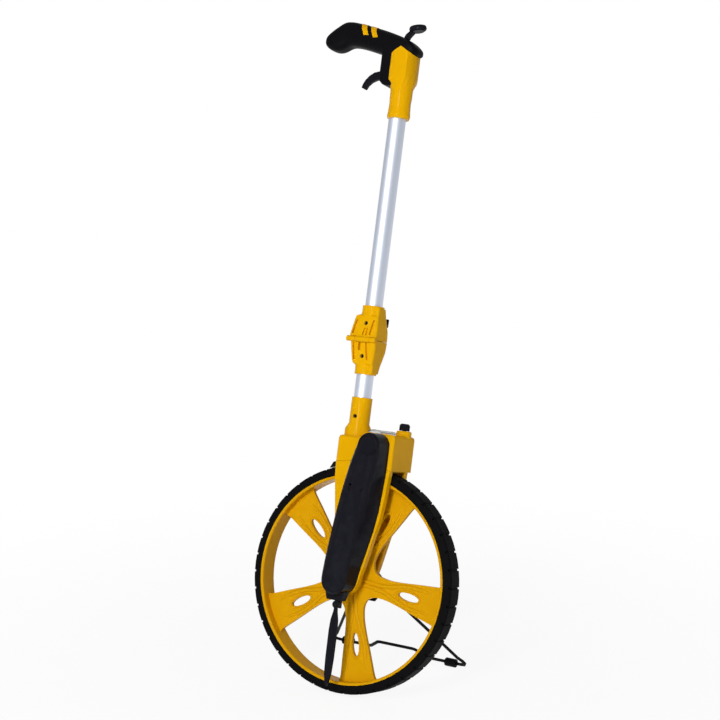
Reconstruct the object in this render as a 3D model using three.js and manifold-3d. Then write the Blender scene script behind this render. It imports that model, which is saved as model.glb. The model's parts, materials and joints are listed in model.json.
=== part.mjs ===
// Measuring wheel with a folding handle, a mechanical counter and a wire stand.
// Millimetres, +Z up, +X the walking direction, +Y the side the machine leans to on its stand.
import * as THREE from 'three';
import { mergeVertices } from 'three/addons/utils/BufferGeometryUtils.js';
import Module from 'manifold-3d';

const wasm = await Module();
wasm.setup();

// Fits that every piece shares
const FIT = 0.3;
const OVERRUN = 4;
const WELD = 0.0001;
const ARC_TRIM = Math.PI / 32;
const MITRE_LIMIT_SHARE = 0.5;

// The whole machine
const WHEEL_CIRCUMFERENCE = 1000;
const LEAN_DEGREES = 14.3;
const TUBE_BEHIND_AXLE = 22.8;
const SHAFT_FORWARD = 28.5;
const SHAFT_HEIGHT = 191;
const HINGE_HEIGHT = 337;
const HANDLE_HEIGHT = 657.5;
const FULL_TURN = Math.PI * 2;
const LEAN = THREE.MathUtils.degToRad(LEAN_DEGREES);

// Tyre
const TYRE_RADIUS = WHEEL_CIRCUMFERENCE / FULL_TURN;
const TYRE_DEPTH = 12.7;
const TYRE_BASE_HALF = 14.4;
const TREAD_HALF = 13.4;
const TREAD_CHAMFER = 1.6;
const TREAD_BLOCKS = 40;
const GROOVE_WIDTH = 2.8;
const GROOVE_DEPTH = 1.3;
const NOTCH_DEPTH = 3.8;
const NOTCH_LENGTH = 3.6;

// Wheel moulding
const RIM_HALF = 15.2;
const RIM_THICKNESS = 4;
const SPOKES = 5;
const FIRST_SPOKE_DEGREES = 25;
const SPOKE_RIM_HALF = 26;
const SPOKE_FILLET = 7;
const HUB_WEB_RADIUS = 36;
const WEB_HALF = 2.6;
const RIB_HEIGHT = 2.2;
const RIB_WIDTH = 3.6;
const HUB_RADIUS = 17;
const HUB_HALF = 16.4;
const EYE_RADIUS_AT = 91;
const EYE_HALF_LENGTH = 17;
const EYE_HALF_WIDTH = 5.6;
const WISHBONE_FORK = 51;
const WISHBONE_END = 120;
const WISHBONE_SPREAD = 15.5;
const SPOKE_SIDE_SHARES = [[0.4, 0.53], [0.54, 0.63], [0.72, 0.82], [0.88, 0.96]];

// Axle and its bushes
const AXLE_RADIUS = 5;
const BUSH_WALL = 3.7;
const BUSH_FLANGE = 3.2;
const BUSH_FLANGE_THICKNESS = 1;
const AXLE_NUT_RADIUS = 8;
const AXLE_NUT_HEIGHT = 5;

// Fork legs
const LEG_INNER = 18;
const LEG_OUTER = 27;
const LEG_SKIN = 3.4;
const LEG_WALL = 3;
const LEG_HUB_RADIUS = 21.5;
const LEG_FRONT_REACH = 50.3;
const LEG_BACK_REACH = 37;
const LEG_RIBS = 3;
const LEG_RIB_THICKNESS = 2.4;
const LEG_BOSS_WALL = 4;
const SEAM_RADIUS = 166;
const ARCH_CLEARANCE = 3.4;
const TONGUE_RISE = 20;
const TONGUE_THICKNESS = 2.5;
const TONGUE_BACK = -34;
const TONGUE_FRONT = 8;
const FLOOR_BACK = -34;
const FLOOR_FRONT = 45;
const LEG_FRONT_SHARES = [[0.12, 0.547], [0.398, 0.755], [0.512, 0.855], [0.723, 0.944]];
const LEG_BACK_SHARES = [[0.861, 0.973], [0.717, 0.88], [0.53, 0.757], [0.27, 0.635]];

// Counter housing
const HOUSING_FRONT = 51;
const HOUSING_BACK = -38.6;
const HOUSING_NECK_TOP = 200;
const HOUSING_TOP = 208;
const HOUSING_STEP_AT = -2;
const HOUSING_FAR = 37;
const HOUSING_WALL = 3;
const HOUSING_CORNER = 5;
const SOCKET_TOP = 255;
const SOCKET_RADIUS = 14.8;
const COLLAR_RADIUS = 19.5;
const COLLAR_TOP = 211;
const COLLAR_TAPER = 7;
const TUBE_SEAT_THICKNESS = 3;
const TUBE_SEAT_HEIGHT = 176.5;
const SOCKET_SCREW_HEIGHT = 228;

// Counter
const COUNTER_SHAFT_RADIUS = 3;
const NUMBER_WHEELS = 5;
const NUMBER_WHEEL_RADIUS = 12.5;
const NUMBER_WHEEL_WIDTH = 7.3;
const NUMBER_WHEEL_PITCH = 8;
const DIGITS = 10;
const PINION_RADIUS = 4;
const PINION_FORWARD = 11;
const PINION_DROP = 13;
const PINION_SHAFT_RADIUS = 1.5;
const PINION_WIDTH = 5;
const PINION_TEETH = 6;
const TOOTH_DEPTH = 1;
const FRAME_HALF = 22.4;
const FRAME_SHEET = 1.4;
const FRAME_BACK = 15;
const FRAME_FRONT = 45;
const FRAME_FLOOR = 165.4;
const FRAME_TOP = 197;
const WINDOW_BACK = 6;
const WINDOW_FRONT = 29;
const WINDOW_HALF = 24;
const WINDOW_RISE = 4.2;
const WINDOW_WALL = 1.6;
const WINDOW_LIP = 2;

// Reset knob
const KNOB_FORWARD = 40;
const KNOB_SIDE = 20.5;
const KNOB_BOSS_RADIUS = 10.8;
const KNOB_BOSS_HEIGHT = 7.2;
const KNOB_RADIUS = 8;
const KNOB_HEIGHT = 10.2;
const KNOB_FLUTES = 8;
const KNOB_FLUTE_DEPTH = 0.9;
const KNOB_STEM_RADIUS = 2.4;
const KNOB_STEM_DEPTH = 4.5;
const KNOB_ROUND = 2.4;

// Belt drive and its case
const PULLEY_RADIUS = 12.5;
const PULLEY_FLANGE = 0.9;
const PULLEY_HALF = 5;
const PULLEY_FLANGE_THICKNESS = 0.8;
const BELT_THICKNESS = 1.2;
const BELT_HALF = 3.6;
const BELT_PLANE = -41;
const CASE_DEPTH = 31.7;
const CASE_TRAY = 2.7;
const CASE_WALL = 2.4;
const CASE_BOTTOM_RADIUS = 20;
const CASE_TOP_RADIUS = 17;
const CASE_ROUND = 2.6;
const CASE_CAP_RADIUS = 14.6;
const CASE_CAP_THICKNESS = 2;
const CASE_SIDE_AT_SHARES = [0.14, 0.24, 0.4, 0.54, 0.665, 0.83];
const CASE_FRONT_FACE_SHARES = [0.94, 0.9, 0.88, 0.93, 1, 1.02];
const CASE_FRONT_BACK_SHARES = [1.05, 1.16, 1.28, 1.3, 1.22, 1.09];
const CASE_REAR_SHARES = [1.095, 1.13, 1.165, 1.165, 1.145, 1.06];
const CASE_SCREW_HEIGHT = 128.5;
const CASE_SCREW_BACK = 8.5;
const CASE_SCREW_FRONT = 28.5;
const SCREW_RADIUS = 1.5;
const SCREW_HEAD_RADIUS = 2.4;
const SCREW_HEAD_HEIGHT = 2;
const SCREW_HOLE_DEPTH = 1.2;
const GRUB_RADIUS = 1.9;
const SLOT_DEPTH = 0.7;
const SLOT_HALF = 0.4;

// Pointer
const POINTER_SIDE = -44.5;
const POINTER_PIVOT_DROP = 33.5;
const POINTER_EYE_RADIUS = 5.4;
const POINTER_EYE_HALF = 2.4;
const POINTER_TIP_DROP = 146;
const POINTER_FORWARD = 2.5;
const POINTER_HALF_THICKNESS = 1.7;
const POINTER_HALF_WIDTH = 6.3;
const POINTER_NECK_HALF = 1.7;
const POINTER_SIDE_SHARES = [
  [0.09, 0.45], [0.19, 0.86], [0.32, 1], [0.66, 0.97], [0.86, 0.8], [0.96, 0.42], [1, 0.18],
];
const BRACKET_BACK = -15.5;
const BRACKET_FRONT = 13.5;
const BRACKET_TAPER = 3;
const BRACKET_DROP = 28;
const BRACKET_HALF = 7.5;
const BRACKET_TONGUE_HALF = 5;
const BRACKET_TONGUE_THICKNESS = 4;

// Brake
const BRAKE_PIVOT_BACK = 22;
const BRAKE_PIVOT_HEIGHT = 171.3;
const BRAKE_PIN_RADIUS = 1.6;
const BRAKE_HALF = 5.5;
const BRAKE_PIN_HALF = 10;
const BRAKE_LUG_THICKNESS = 3;
const BRAKE_BOSS_RADIUS = 3.7;
const BRAKE_GAP = 2.3;
const BRAKE_TIP_BACK = 59;
const BRAKE_BLADE = 7;
const BRAKE_NECK_SHARE = 0.8;

// Tubes
const TUBE_DIAMETER = 25;
const TUBE_WALL = 1.6;
const TUBE_RADIUS = TUBE_DIAMETER / 2;

// Folding hinge
const HINGE_HALF = 21.2;
const HINGE_ROUND = 2.4;
const HINGE_PIN_RECESS = 3;
const KNUCKLE_CAP = 4.4;
const HINGE_LOWER_TAPER = 0.08;
const HINGE_NEAR = 20;
const HINGE_FAR = 19.5;
const HINGE_UPPER_BLOCK = 34;
const HINGE_LOWER_BLOCK = 34;
const HINGE_UPPER_LENGTH = 49.5;
const HINGE_LOWER_LENGTH = 49;
const HINGE_COLLAR_RADIUS = 15.6;
const HINGE_COLLAR_ROUND = 2;
const HINGE_FLOOR = 6;
const HINGE_SECTION_SHARES = [
  [0, 1, 0.935, 1, 1], [0.2, 1, 0.925, 0.945, 1], [0.44, 0.97, 0.905, 0.88, 0.96],
  [1, 0.88, 0.8, 0.74, 0.64], [1.06, 0.6, 0.785, 0.6, 0.615], [1.38, 0.55, 0.735, 0.5, 0.51],
];
const KNUCKLE_RADIUS = 4;
const KNUCKLE_SPLIT = 12;
const HINGE_PIN_RADIUS = 2;
const HINGE_SLOT_WIDTH = 2.8;
const HINGE_SLOT_DEPTH = 3.6;
const HINGE_SCREW_HEIGHT = 23.5;
const HINGE_SCREW_FACE = -16.1;
const HINGE_SLOT_TOP_SHARE = 0.94;
const HINGE_SLOT_FOOT_SHARE = 0.24;
const HINGE_UPPER_SLOT_SHARES = [-0.76, 0.62];
const HINGE_LOWER_SLOT_SHARES = [-0.66, 0.4];
const HINGE_DEEP_SLOT_WIDTH = 5.4;
const HINGE_DEEP_SLOT_AT = -3.3;
const HINGE_DEEP_SLOT_FOOT = -17;

// Latch lever on the far side of the hinge
const LATCH_HALF = 12.5;
const LATCH_PIVOT_SIDE = 16.4;
const LATCH_PIVOT_HEIGHT = 14;
const LATCH_PIN_RADIUS = 1.4;
const LATCH_PIN_HALF = 15.5;
const LATCH_POCKET_SIDE = 14;
const LATCH_POCKET_HEIGHT = 37;
const LATCH_NOTCH_DEPTH = 9.5;
const LATCH_FINGER_SIDE = 11.6;
const LATCH_FINGER_HEIGHT = 20.8;
const LATCH_OUTLINE_SHARES = [
  [-0.18, -1.06], [0.11, -1.06], [0.15, -0.48], [0.22, 0.1], [0.97, 0.45], [1, 0.94], [0.88, 1],
  [0.64, 0.68], [-0.07, 0.2], [-0.18, -0.48],
];

// Handle socket and grip
const SOCKET_LENGTH = 102.5;
const SOCKET_GABLE_SLOPE = 0.62;
const SOCKET_APEX = 1.2;
const HANDLE_BORE = 86;
const SOCKET_HALF = 19.6;
const SOCKET_SIDE_HALF = 19.3;
const SOCKET_ROUND_RADIUS = 15.7;
const SOCKET_ROUND_FORWARD = 1.2;
const SOCKET_BOXED_SHARES = [
  [1.02, 0], [0.98, 0.36], [0.9, 0.7], [0.74, 1], [0.2, 1],
  [-0.36, 1], [-0.7, 0.86], [-0.87, 0.46], [-0.89, 0],
];
const SOCKET_CREASE_SHARE = 1.03;
const SOCKET_SECTION_SHARES = [
  [0, 0, 1], [0.032, 0, 1.07], [0.052, 0, 1.06], [0.105, 0, 1.02], [0.225, 0, 0.985], [0.288, 0, 1.03],
  [0.378, 0, 1.03], [0.44, 0.12, 1.04], [0.535, 0.94, 1], [0.608, 1, 1], [0.92, 1, 0.995], [1, 1, 0.97],
];
const GRIP_HALF = 16;
const GRIP_BACK = 125;
const GRIP_TOP = 146.5;
const GRIP_SQUARE_SHARE = 0.68;
const GRIP_SECTION_SHARES = [
  [-1.056, 0.755, 0.795, 0.45], [-1.04, 0.728, 0.823, 0.76], [-1, 0.703, 0.858, 0.92],
  [-0.936, 0.68, 0.903, 1], [-0.864, 0.678, 0.956, 1], [-0.808, 0.696, 0.985, 1],
  [-0.76, 0.718, 0.985, 0.98], [-0.69, 0.735, 0.97, 0.97], [-0.48, 0.695, 0.927, 0.97],
  [-0.25, 0.63, 0.874, 1.02], [-0.09, 0.625, 0.828, 1.08], [0.04, 0.622, 0.785, 1.14],
  [0.12, 0.618, 0.742, 1.08], [0.17, 0.622, 0.705, 0.86], [0.195, 0.635, 0.675, 0.5],
];
const WEB_FOOT_SHARES = [
  [-0.252, 0.68], [-0.252, 0.4], [-0.215, 0.35], [-0.136, 0.317], [-0.06, 0.317], [-0.06, 0.68],
];
const WEB_ROUND = 6;
const STRIPE_DEPTH = 1.2;
const STRIPE_WIDTH = 9.5;
const STRIPE_SLANT_DEGREES = 24;
const STRIPE_AT_SHARES = [[-0.48, 0.82], [-0.35, 0.79]];

// Trigger
const TRIGGER_PIVOT_BACK = 25;
const TRIGGER_PIVOT_HEIGHT = 64;
const TRIGGER_HALF = 4.6;
const TRIGGER_ROUND = 1.4;
const TRIGGER_PIN_RADIUS = 1.6;
const TRIGGER_SLOT_HALF = 5.2;
const TRIGGER_SLOT_BOTTOM = 51.5;
const TRIGGER_SLOT_TOP = 77;
const TRIGGER_SLOT_FRONT = 17.8;
const TRIGGER_REACH = 39;
const TRIGGER_DROP = 21;
const TRIGGER_OUTLINE_SHARES = [
  [0.1, 0.3], [-0.28, 0.3], [-0.54, 0.2], [-0.74, -0.03], [-0.89, -0.33], [-0.98, -0.62],
  [-1.02, -0.86], [-0.86, -1], [-0.76, -0.7], [-0.61, -0.47], [-0.42, -0.33], [-0.22, -0.3], [0.1, -0.3],
];

// Thumb lever
const LEVER_PIVOT_BACK = 4;
const LEVER_PIVOT_HEIGHT = 111.5;
const LEVER_HALF = 3.4;
const LEVER_PIN_RADIUS = 1.4;
const LEVER_PIN_HALF = 9;
const LEVER_SLOT_HALF = 4;
const LEVER_SLOT_BACK = 11.5;
const LEVER_SLOT_FRONT = 8.5;
const LEVER_SLOT_BOTTOM = 106.8;
const LEVER_BOSS_RADIUS = 3.8;
const LEVER_STALK_SHARES = [
  [-0.17, 0], [0.17, -0.06], [0.42, 0.5], [0.75, 0.95], [1, 1.15], [0.5, 1.15], [0.12, 0.75],
];
const PAD_SECTION_SHARES = [[0.72, 0], [0.95, 0.25], [1, 0.6], [0.92, 0.93], [0.78, 1], [0.55, 0.8]];
const PAD_FORWARD = 15.8;
const PAD_HEIGHT = 127.5;
const PAD_THICKNESS = 8.2;
const PAD_TILT_DEGREES = 9;
const PAD_LENGTH_HALF = 13.2;
const PAD_WIDTH_HALF = 10.8;

// Handle screws on the far side
const UPPER_SCREW_FORWARD = 2;
const UPPER_SCREW_HEIGHT = 95;
const UPPER_SCREW_FACE = 16.6;
const GRIP_SCREW_BACK = 90;
const GRIP_SCREW_HEIGHT = 122;
const GRIP_SCREW_FACE = 14.6;
const HANDLE_SCREW_PLACES = [
  [UPPER_SCREW_FORWARD, UPPER_SCREW_HEIGHT, UPPER_SCREW_FACE],
  [-GRIP_SCREW_BACK, GRIP_SCREW_HEIGHT, GRIP_SCREW_FACE],
];
const HANDLE_SCREW_TIP = -8;

// Stand
const STAND_PIVOT_SIDE = 37;
const STAND_PIVOT_HEIGHT = 2;
const STAND_LENGTH = 173;
const STAND_HALF_WIDTH = 112;
const STAND_WIRE_RADIUS = 2.5;
const STAND_TOP_HALF = 10;
const STAND_BEND = 9;
const STAND_BUMP_TOP_HALF = 30;
const STAND_BUMP_BASE_HALF = 47;
const STAND_BUMP_HEIGHT = 15;
const STAND_HOOK = 4.5;
const STAND_CORNER_SHARES = [[0.29, 1.02], [0.06, 0.45], [0.24, 0.09], [1, 0]];
const FOOT_RADIUS = 6;
const FOOT_LENGTH = 18;
const FOOT_AT = 88;
const FOOT_SIDES = 10;
const BRACKET_PLATE_HALF = 28;
const BRACKET_PLATE_BOTTOM = 29;
const BRACKET_PLATE_THICKNESS = 3.4;
const PLATE_OUTLINE_SHARES = [
  [-0.8, -1], [0.8, -1], [1, -0.7], [1, 0.25], [0.8, 0.41], [-0.8, 0.41], [-1, 0.25], [-1, -0.7],
];
const BRIDGE_HALF = 6;
const BRIDGE_TOP = 11.5;
const BRIDGE_BOTTOM = 14;
const STAND_END_HALF = 1.2;
const STAND_SCREW_SIDE = 16;
const STAND_SCREW_DROP = 6;

// Materials
function plastic(color, roughness) {
  return new THREE.MeshStandardMaterial({ color, roughness, metalness: 0 });
}

function metal(color, roughness) {
  return new THREE.MeshStandardMaterial({ color, roughness, metalness: 1 });
}

const yellowPlastic = plastic(0xe9ab06, 0.35);
const blackPlastic = plastic(0x16161a, 0.45);
const blackRubber = plastic(0x1b1b1d, 0.8);
const whitePlastic = plastic(0xf0f0ea, 0.4);
const clearPlastic = plastic(0xaab0b4, 0.1);
const satinAluminium = metal(0xc4c7cc, 0.32);
const blackSteel = metal(0x1a1a1c, 0.5);
const zincSteel = metal(0x9a9ca0, 0.35);
const bronze = metal(0x9a7440, 0.4);

// Solids from closed geometry
function solidOf(geometry) {
  const bare = geometry.clone();
  bare.deleteAttribute('normal');
  bare.deleteAttribute('uv');
  const merged = mergeVertices(bare, WELD);
  const vertices = merged.attributes.position.array;
  const triangles = Uint32Array.from(cleanTriangles(merged.index.array));
  if (signedVolume(vertices, triangles) < 0) {
    for (let i = 0; i < triangles.length; i += 3) {
      [triangles[i], triangles[i + 1]] = [triangles[i + 1], triangles[i]];
    }
  }
  return new wasm.Manifold(new wasm.Mesh({ numProp: 3, vertProperties: vertices, triVerts: triangles }));
}

function cleanTriangles(indices) {
  const kept = [];
  for (let i = 0; i < indices.length; i += 3) {
    const [a, b, c] = indices.slice(i, i + 3);
    if (a !== b && b !== c && c !== a) {
      kept.push(a, b, c);
    }
  }
  return kept;
}

function signedVolume(vertices, triangles) {
  const corners = [new THREE.Vector3(), new THREE.Vector3(), new THREE.Vector3()];
  let total = 0;
  for (let i = 0; i < triangles.length; i += 3) {
    corners.forEach((corner, k) => corner.fromArray(vertices, triangles[i + k] * 3));
    total += corners[0].dot(corners[1].clone().cross(corners[2]));
  }
  return total;
}

function geometryOf(solid) {
  const mesh = solid.getMesh();
  const geometry = new THREE.BufferGeometry();
  geometry.setAttribute('position', new THREE.BufferAttribute(mesh.vertProperties, 3));
  geometry.setIndex(new THREE.BufferAttribute(mesh.triVerts, 1));
  geometry.computeVertexNormals();
  return geometry;
}

function joined(...solids) {
  return solids.reduce((whole, next) => whole.add(next));
}

function cut(solid, ...tools) {
  return tools.reduce((left, tool) => left.subtract(tool), solid);
}

function piece(parent, name, solid, material) {
  const mesh = new THREE.Mesh(geometryOf(solid), material);
  mesh.name = name;
  parent.add(mesh);
  return mesh;
}

// A stack is a closed skin over outlines of equal point counts, one at each level along an axis.
const PLACE_ALONG = {
  x: (point, level) => [level, point.x, point.y],
  y: (point, level) => [point.x, level, point.y],
  z: (point, level) => [point.x, point.y, level],
};

function stack(axis, layers) {
  const count = layers[0].outline.length;
  const clockwise = THREE.ShapeUtils.area(layers[0].outline) < 0;
  const outlines = layers.map(({ outline }) => (clockwise ? [...outline].reverse() : outline));
  const positions = outlines.flatMap((outline, i) => outline.flatMap(
    (point) => PLACE_ALONG[axis](point, layers[i].level)));
  const indices = [];
  for (let low = 0; low < (layers.length - 1) * count; low += count) {
    for (let i = 0; i < count; i += 1) {
      const next = (i + 1) % count;
      indices.push(low + i, low + next, low + count + next);
      indices.push(low + i, low + count + next, low + count + i);
    }
  }
  const last = (layers.length - 1) * count;
  for (const [a, b, c] of capTriangles(outlines[0])) {
    indices.push(c, b, a);
  }
  for (const [a, b, c] of capTriangles(outlines[layers.length - 1])) {
    indices.push(last + a, last + b, last + c);
  }
  const geometry = new THREE.BufferGeometry();
  geometry.setAttribute('position', new THREE.Float32BufferAttribute(positions, 3));
  geometry.setIndex(indices);
  return solidOf(geometry);
}

function capTriangles(outline) {
  return THREE.ShapeUtils.triangulateShape(outline, []).map(([a, b, c]) => (
    THREE.ShapeUtils.area([outline[a], outline[b], outline[c]]) < 0 ? [c, b, a] : [a, b, c]));
}

function plate(axis, outline, from, to) {
  return stack(axis, [{ outline, level: from }, { outline, level: to }]);
}

function bevelledPlate(axis, outline, from, to, bevel) {
  const end = inset(outline, bevel);
  return stack(axis, [
    { outline: end, level: from },
    { outline, level: from + bevel },
    { outline, level: to - bevel },
    { outline: end, level: to },
  ]);
}


function inset(outline, distance) {
  const turn = Math.sign(THREE.ShapeUtils.area(outline));
  return outline.map((point, i) => {
    const before = outline[(i + outline.length - 1) % outline.length];
    const after = outline[(i + 1) % outline.length];
    const arriving = point.clone().sub(before).normalize();
    const leaving = after.clone().sub(point).normalize();
    const along = arriving.clone().add(leaving).normalize();
    const inward = new THREE.Vector2(-along.y, along.x).multiplyScalar(turn);
    return point.clone().addScaledVector(inward, distance / Math.max(along.dot(arriving), MITRE_LIMIT_SHARE));
  });
}

function box(x0, x1, y0, y1, z0, z1) {
  const geometry = new THREE.BoxGeometry(x1 - x0, y1 - y0, z1 - z0);
  geometry.translate((x0 + x1) / 2, (y0 + y1) / 2, (z0 + z1) / 2);
  return solidOf(geometry);
}

// A round bar between two levels along an axis; the centre is given in the other two coordinates.
function rod(axis, radius, from, to, centre = [0, 0], sides = 16) {
  return plate(axis, circle(centre[0], centre[1], radius, sides), from, to);
}

function circle(x, y, radius, sides) {
  return arc(x, y, radius, 0, FULL_TURN, sides).slice(0, sides);
}

function arc(x, y, radius, from, to, steps) {
  return Array.from({ length: steps + 1 }, (unused, i) => {
    const angle = from + (to - from) * i / steps;
    return new THREE.Vector2(x + radius * Math.cos(angle), y + radius * Math.sin(angle));
  });
}

function ellipse(x, y, halfX, halfY, sides) {
  return circle(0, 0, 1, sides).map((point) => new THREE.Vector2(x + point.x * halfX, y + point.y * halfY));
}

function points(pairs) {
  return pairs.map(([x, y]) => new THREE.Vector2(x, y));
}

function turned(profile, segments) {
  const closed = points([...profile, profile[0]]);
  return solidOf(new THREE.LatheGeometry(closed, segments));
}

function turnedAt(solid, angle) {
  const matrix = new THREE.Matrix4().makeRotationY(angle);
  return solid.transform(matrix.elements);
}

// In the wheel plane an angle is measured from +Z towards +X.
function polar(radius, angle) {
  return new THREE.Vector2(radius * Math.sin(angle), radius * Math.cos(angle));
}

const RIM_OUTER = TYRE_RADIUS - TYRE_DEPTH;
const RIM_INNER = RIM_OUTER - RIM_THICKNESS;
const WHEEL_SEGMENTS = TREAD_BLOCKS * 2;

function makeTyre() {
  const bore = RIM_OUTER + FIT;
  const body = turned([
    [bore, -TYRE_BASE_HALF], [TYRE_RADIUS - TREAD_CHAMFER, -TREAD_HALF],
    [TYRE_RADIUS, TREAD_CHAMFER - TREAD_HALF], [TYRE_RADIUS, TREAD_HALF - TREAD_CHAMFER],
    [TYRE_RADIUS - TREAD_CHAMFER, TREAD_HALF], [bore, TYRE_BASE_HALF],
  ], WHEEL_SEGMENTS);
  const outside = TYRE_BASE_HALF + OVERRUN;
  const notchEnd = TREAD_HALF - NOTCH_LENGTH;
  const slant = (NOTCH_DEPTH - GROOVE_DEPTH) / NOTCH_LENGTH;
  const notchFoot = TYRE_RADIUS - GROOVE_DEPTH - slant * (outside - notchEnd);
  const above = TYRE_RADIUS + OVERRUN;
  const groove = plate('x', points([
    [-outside, notchFoot], [-notchEnd, TYRE_RADIUS - GROOVE_DEPTH],
    [notchEnd, TYRE_RADIUS - GROOVE_DEPTH], [outside, notchFoot],
    [outside, above], [-outside, above],
  ]), -GROOVE_WIDTH / 2, GROOVE_WIDTH / 2);
  const grooves = Array.from({ length: TREAD_BLOCKS }, (unused, i) => (
    turnedAt(groove, FULL_TURN * (i + 1 / 2) / TREAD_BLOCKS)));
  return cut(body, joined(...grooves));
}

function windowOutline(middle) {
  const halfPitch = FULL_TURN / SPOKES / 2;
  const sideOf = (turn) => {
    const spoke = middle + turn * halfPitch;
    const across = polar(1, spoke - turn * FULL_TURN / 4);
    const at = (radius, half) => polar(radius, spoke).addScaledVector(across, half);
    return SPOKE_SIDE_SHARES.map(([along, half]) => at(RIM_INNER * along, SPOKE_RIM_HALF * half));
  };
  const left = sideOf(-1);
  const right = sideOf(1);
  const hollow = polar(HUB_WEB_RADIUS * 2 - left[0].dot(polar(1, middle)), middle);
  const spread = halfPitch - Math.asin((SPOKE_RIM_HALF + SPOKE_FILLET) / RIM_INNER);
  const rimArc = Array.from({ length: 6 }, (unused, i) => (
    polar(RIM_INNER + RIM_THICKNESS / 4, middle + spread * (i * 2 / 5 - 1))));
  const cornerOf = (sideEnd, rimEnd, turn) => {
    const spoke = middle + turn * halfPitch;
    const across = polar(1, spoke - turn * FULL_TURN / 4);
    const corner = polar(RIM_INNER, spoke).addScaledVector(across, SPOKE_RIM_HALF);
    return new THREE.QuadraticBezierCurve(sideEnd, corner, rimEnd).getPoints(3).slice(1, -1);
  };
  const root = new THREE.QuadraticBezierCurve(right[0], hollow, left[0]).getPoints(4).slice(1, -1);
  return [
    ...left, ...cornerOf(left[left.length - 1], rimArc[0], -1), ...rimArc,
    ...cornerOf(right[right.length - 1], rimArc[5], 1).reverse(), ...right.reverse(), ...root,
  ];
}

function wishbone(spoke) {
  const across = polar(1, spoke + FULL_TURN / 4);
  const at = (radius, offset) => polar(radius, spoke).addScaledVector(across, offset);
  const half = RIB_WIDTH / 2;
  const arm = (side, inner) => {
    const start = at(WISHBONE_FORK + inner * RIB_WIDTH, side * (1 - inner) * half);
    const bend = at((WISHBONE_FORK + WISHBONE_END) / 2, side * (WISHBONE_SPREAD + half - inner * RIB_WIDTH));
    const end = at(WISHBONE_END, side * (WISHBONE_SPREAD - inner * half));
    return new THREE.QuadraticBezierCurve(start, bend, end).getPoints(3);
  };
  const crotch = arm(1, 1).reverse().concat(arm(-1, 1).slice(1));
  return [
    at(HUB_RADIUS - half, half), ...arm(1, 0), ...crotch, ...arm(-1, 0).reverse(),
    at(HUB_RADIUS - half, -half),
  ];
}

function makeWheel() {
  const rim = turned([
    [RIM_INNER, -RIM_HALF], [RIM_OUTER, -RIM_HALF], [RIM_OUTER, RIM_HALF], [RIM_INNER, RIM_HALF],
  ], WHEEL_SEGMENTS);
  const disc = turned([[0, -WEB_HALF], [RIM_OUTER, -WEB_HALF], [RIM_OUTER, WEB_HALF], [0, WEB_HALF]],
    WHEEL_SEGMENTS);
  const firstSpoke = THREE.MathUtils.degToRad(FIRST_SPOKE_DEGREES);
  const cuts = [];
  const ribs = [];
  for (let i = 0; i < SPOKES; i += 1) {
    const spoke = firstSpoke + FULL_TURN * i / SPOKES;
    const eye = ellipse(0, EYE_RADIUS_AT, EYE_HALF_WIDTH, EYE_HALF_LENGTH, 10);
    const reach = WEB_HALF + RIB_HEIGHT;
    const window = windowOutline(spoke + FULL_TURN / SPOKES / 2);
    cuts.push(plate('y', window, -WEB_HALF - OVERRUN, WEB_HALF + OVERRUN));
    cuts.push(turnedAt(plate('y', eye, -reach - OVERRUN, reach + OVERRUN), spoke));
    ribs.push(plate('y', wishbone(spoke), -reach, reach));
  }
  const hub = rod('y', HUB_RADIUS, -HUB_HALF, HUB_HALF);
  const bore = rod('y', AXLE_RADIUS + FIT, -HUB_HALF - OVERRUN, HUB_HALF + OVERRUN);
  return cut(joined(rim, cut(disc, ...cuts), ...ribs, hub), bore);
}

const BUSH_RADIUS = AXLE_RADIUS + FIT + BUSH_WALL;
const CASE_BACK = -LEG_OUTER - FIT;
const CASE_FACE = CASE_BACK - CASE_DEPTH;
const AXLE_NEAR = BELT_PLANE - PULLEY_HALF - PULLEY_FLANGE_THICKNESS * 2;
const AXLE_FAR = LEG_OUTER + FIT + AXLE_NUT_HEIGHT;

function makeBush(side) {
  const flangeFace = LEG_INNER - BUSH_FLANGE_THICKNESS - FIT;
  const body = sided('y', circle(0, 0, BUSH_RADIUS, 12), side, flangeFace, LEG_OUTER);
  const flange = sided('y', circle(0, 0, BUSH_RADIUS + BUSH_FLANGE, 12), side, flangeFace, LEG_INNER - FIT);
  const bore = rod('y', AXLE_RADIUS + FIT, -LEG_OUTER - OVERRUN, LEG_OUTER + OVERRUN);
  return cut(joined(body, flange), bore);
}

function makeAxleNut() {
  const outline = circle(0, 0, AXLE_NUT_RADIUS, 6);
  const blank = plate('y', outline, LEG_OUTER + FIT, LEG_OUTER + FIT + AXLE_NUT_HEIGHT);
  return cut(blank, rod('y', AXLE_RADIUS + FIT, LEG_INNER, LEG_OUTER + AXLE_NUT_HEIGHT + OVERRUN));
}

// Fork legs: open trays with ribs, joined over the tyre by an arched floor under the counter housing.
function legOutline() {
  const top = SEAM_RADIUS - FIT;
  const frontAngle = Math.acos(LEG_FRONT_REACH / top);
  const backAngle = Math.PI - Math.acos(LEG_BACK_REACH / top);
  return [
    ...arc(0, 0, LEG_HUB_RADIUS, Math.PI + ARC_TRIM, FULL_TURN - ARC_TRIM, 6),
    ...points(LEG_FRONT_SHARES.map(([up, out]) => [out * LEG_FRONT_REACH, up * SEAM_RADIUS])),
    ...arc(0, 0, top, frontAngle, backAngle, 5),
    ...points(LEG_BACK_SHARES.map(([up, out]) => [-out * LEG_BACK_REACH, up * SEAM_RADIUS])),
  ];
}

function sided(axis, outline, side, near, far) {
  return plate(axis, outline, side * near, side * far);
}

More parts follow.
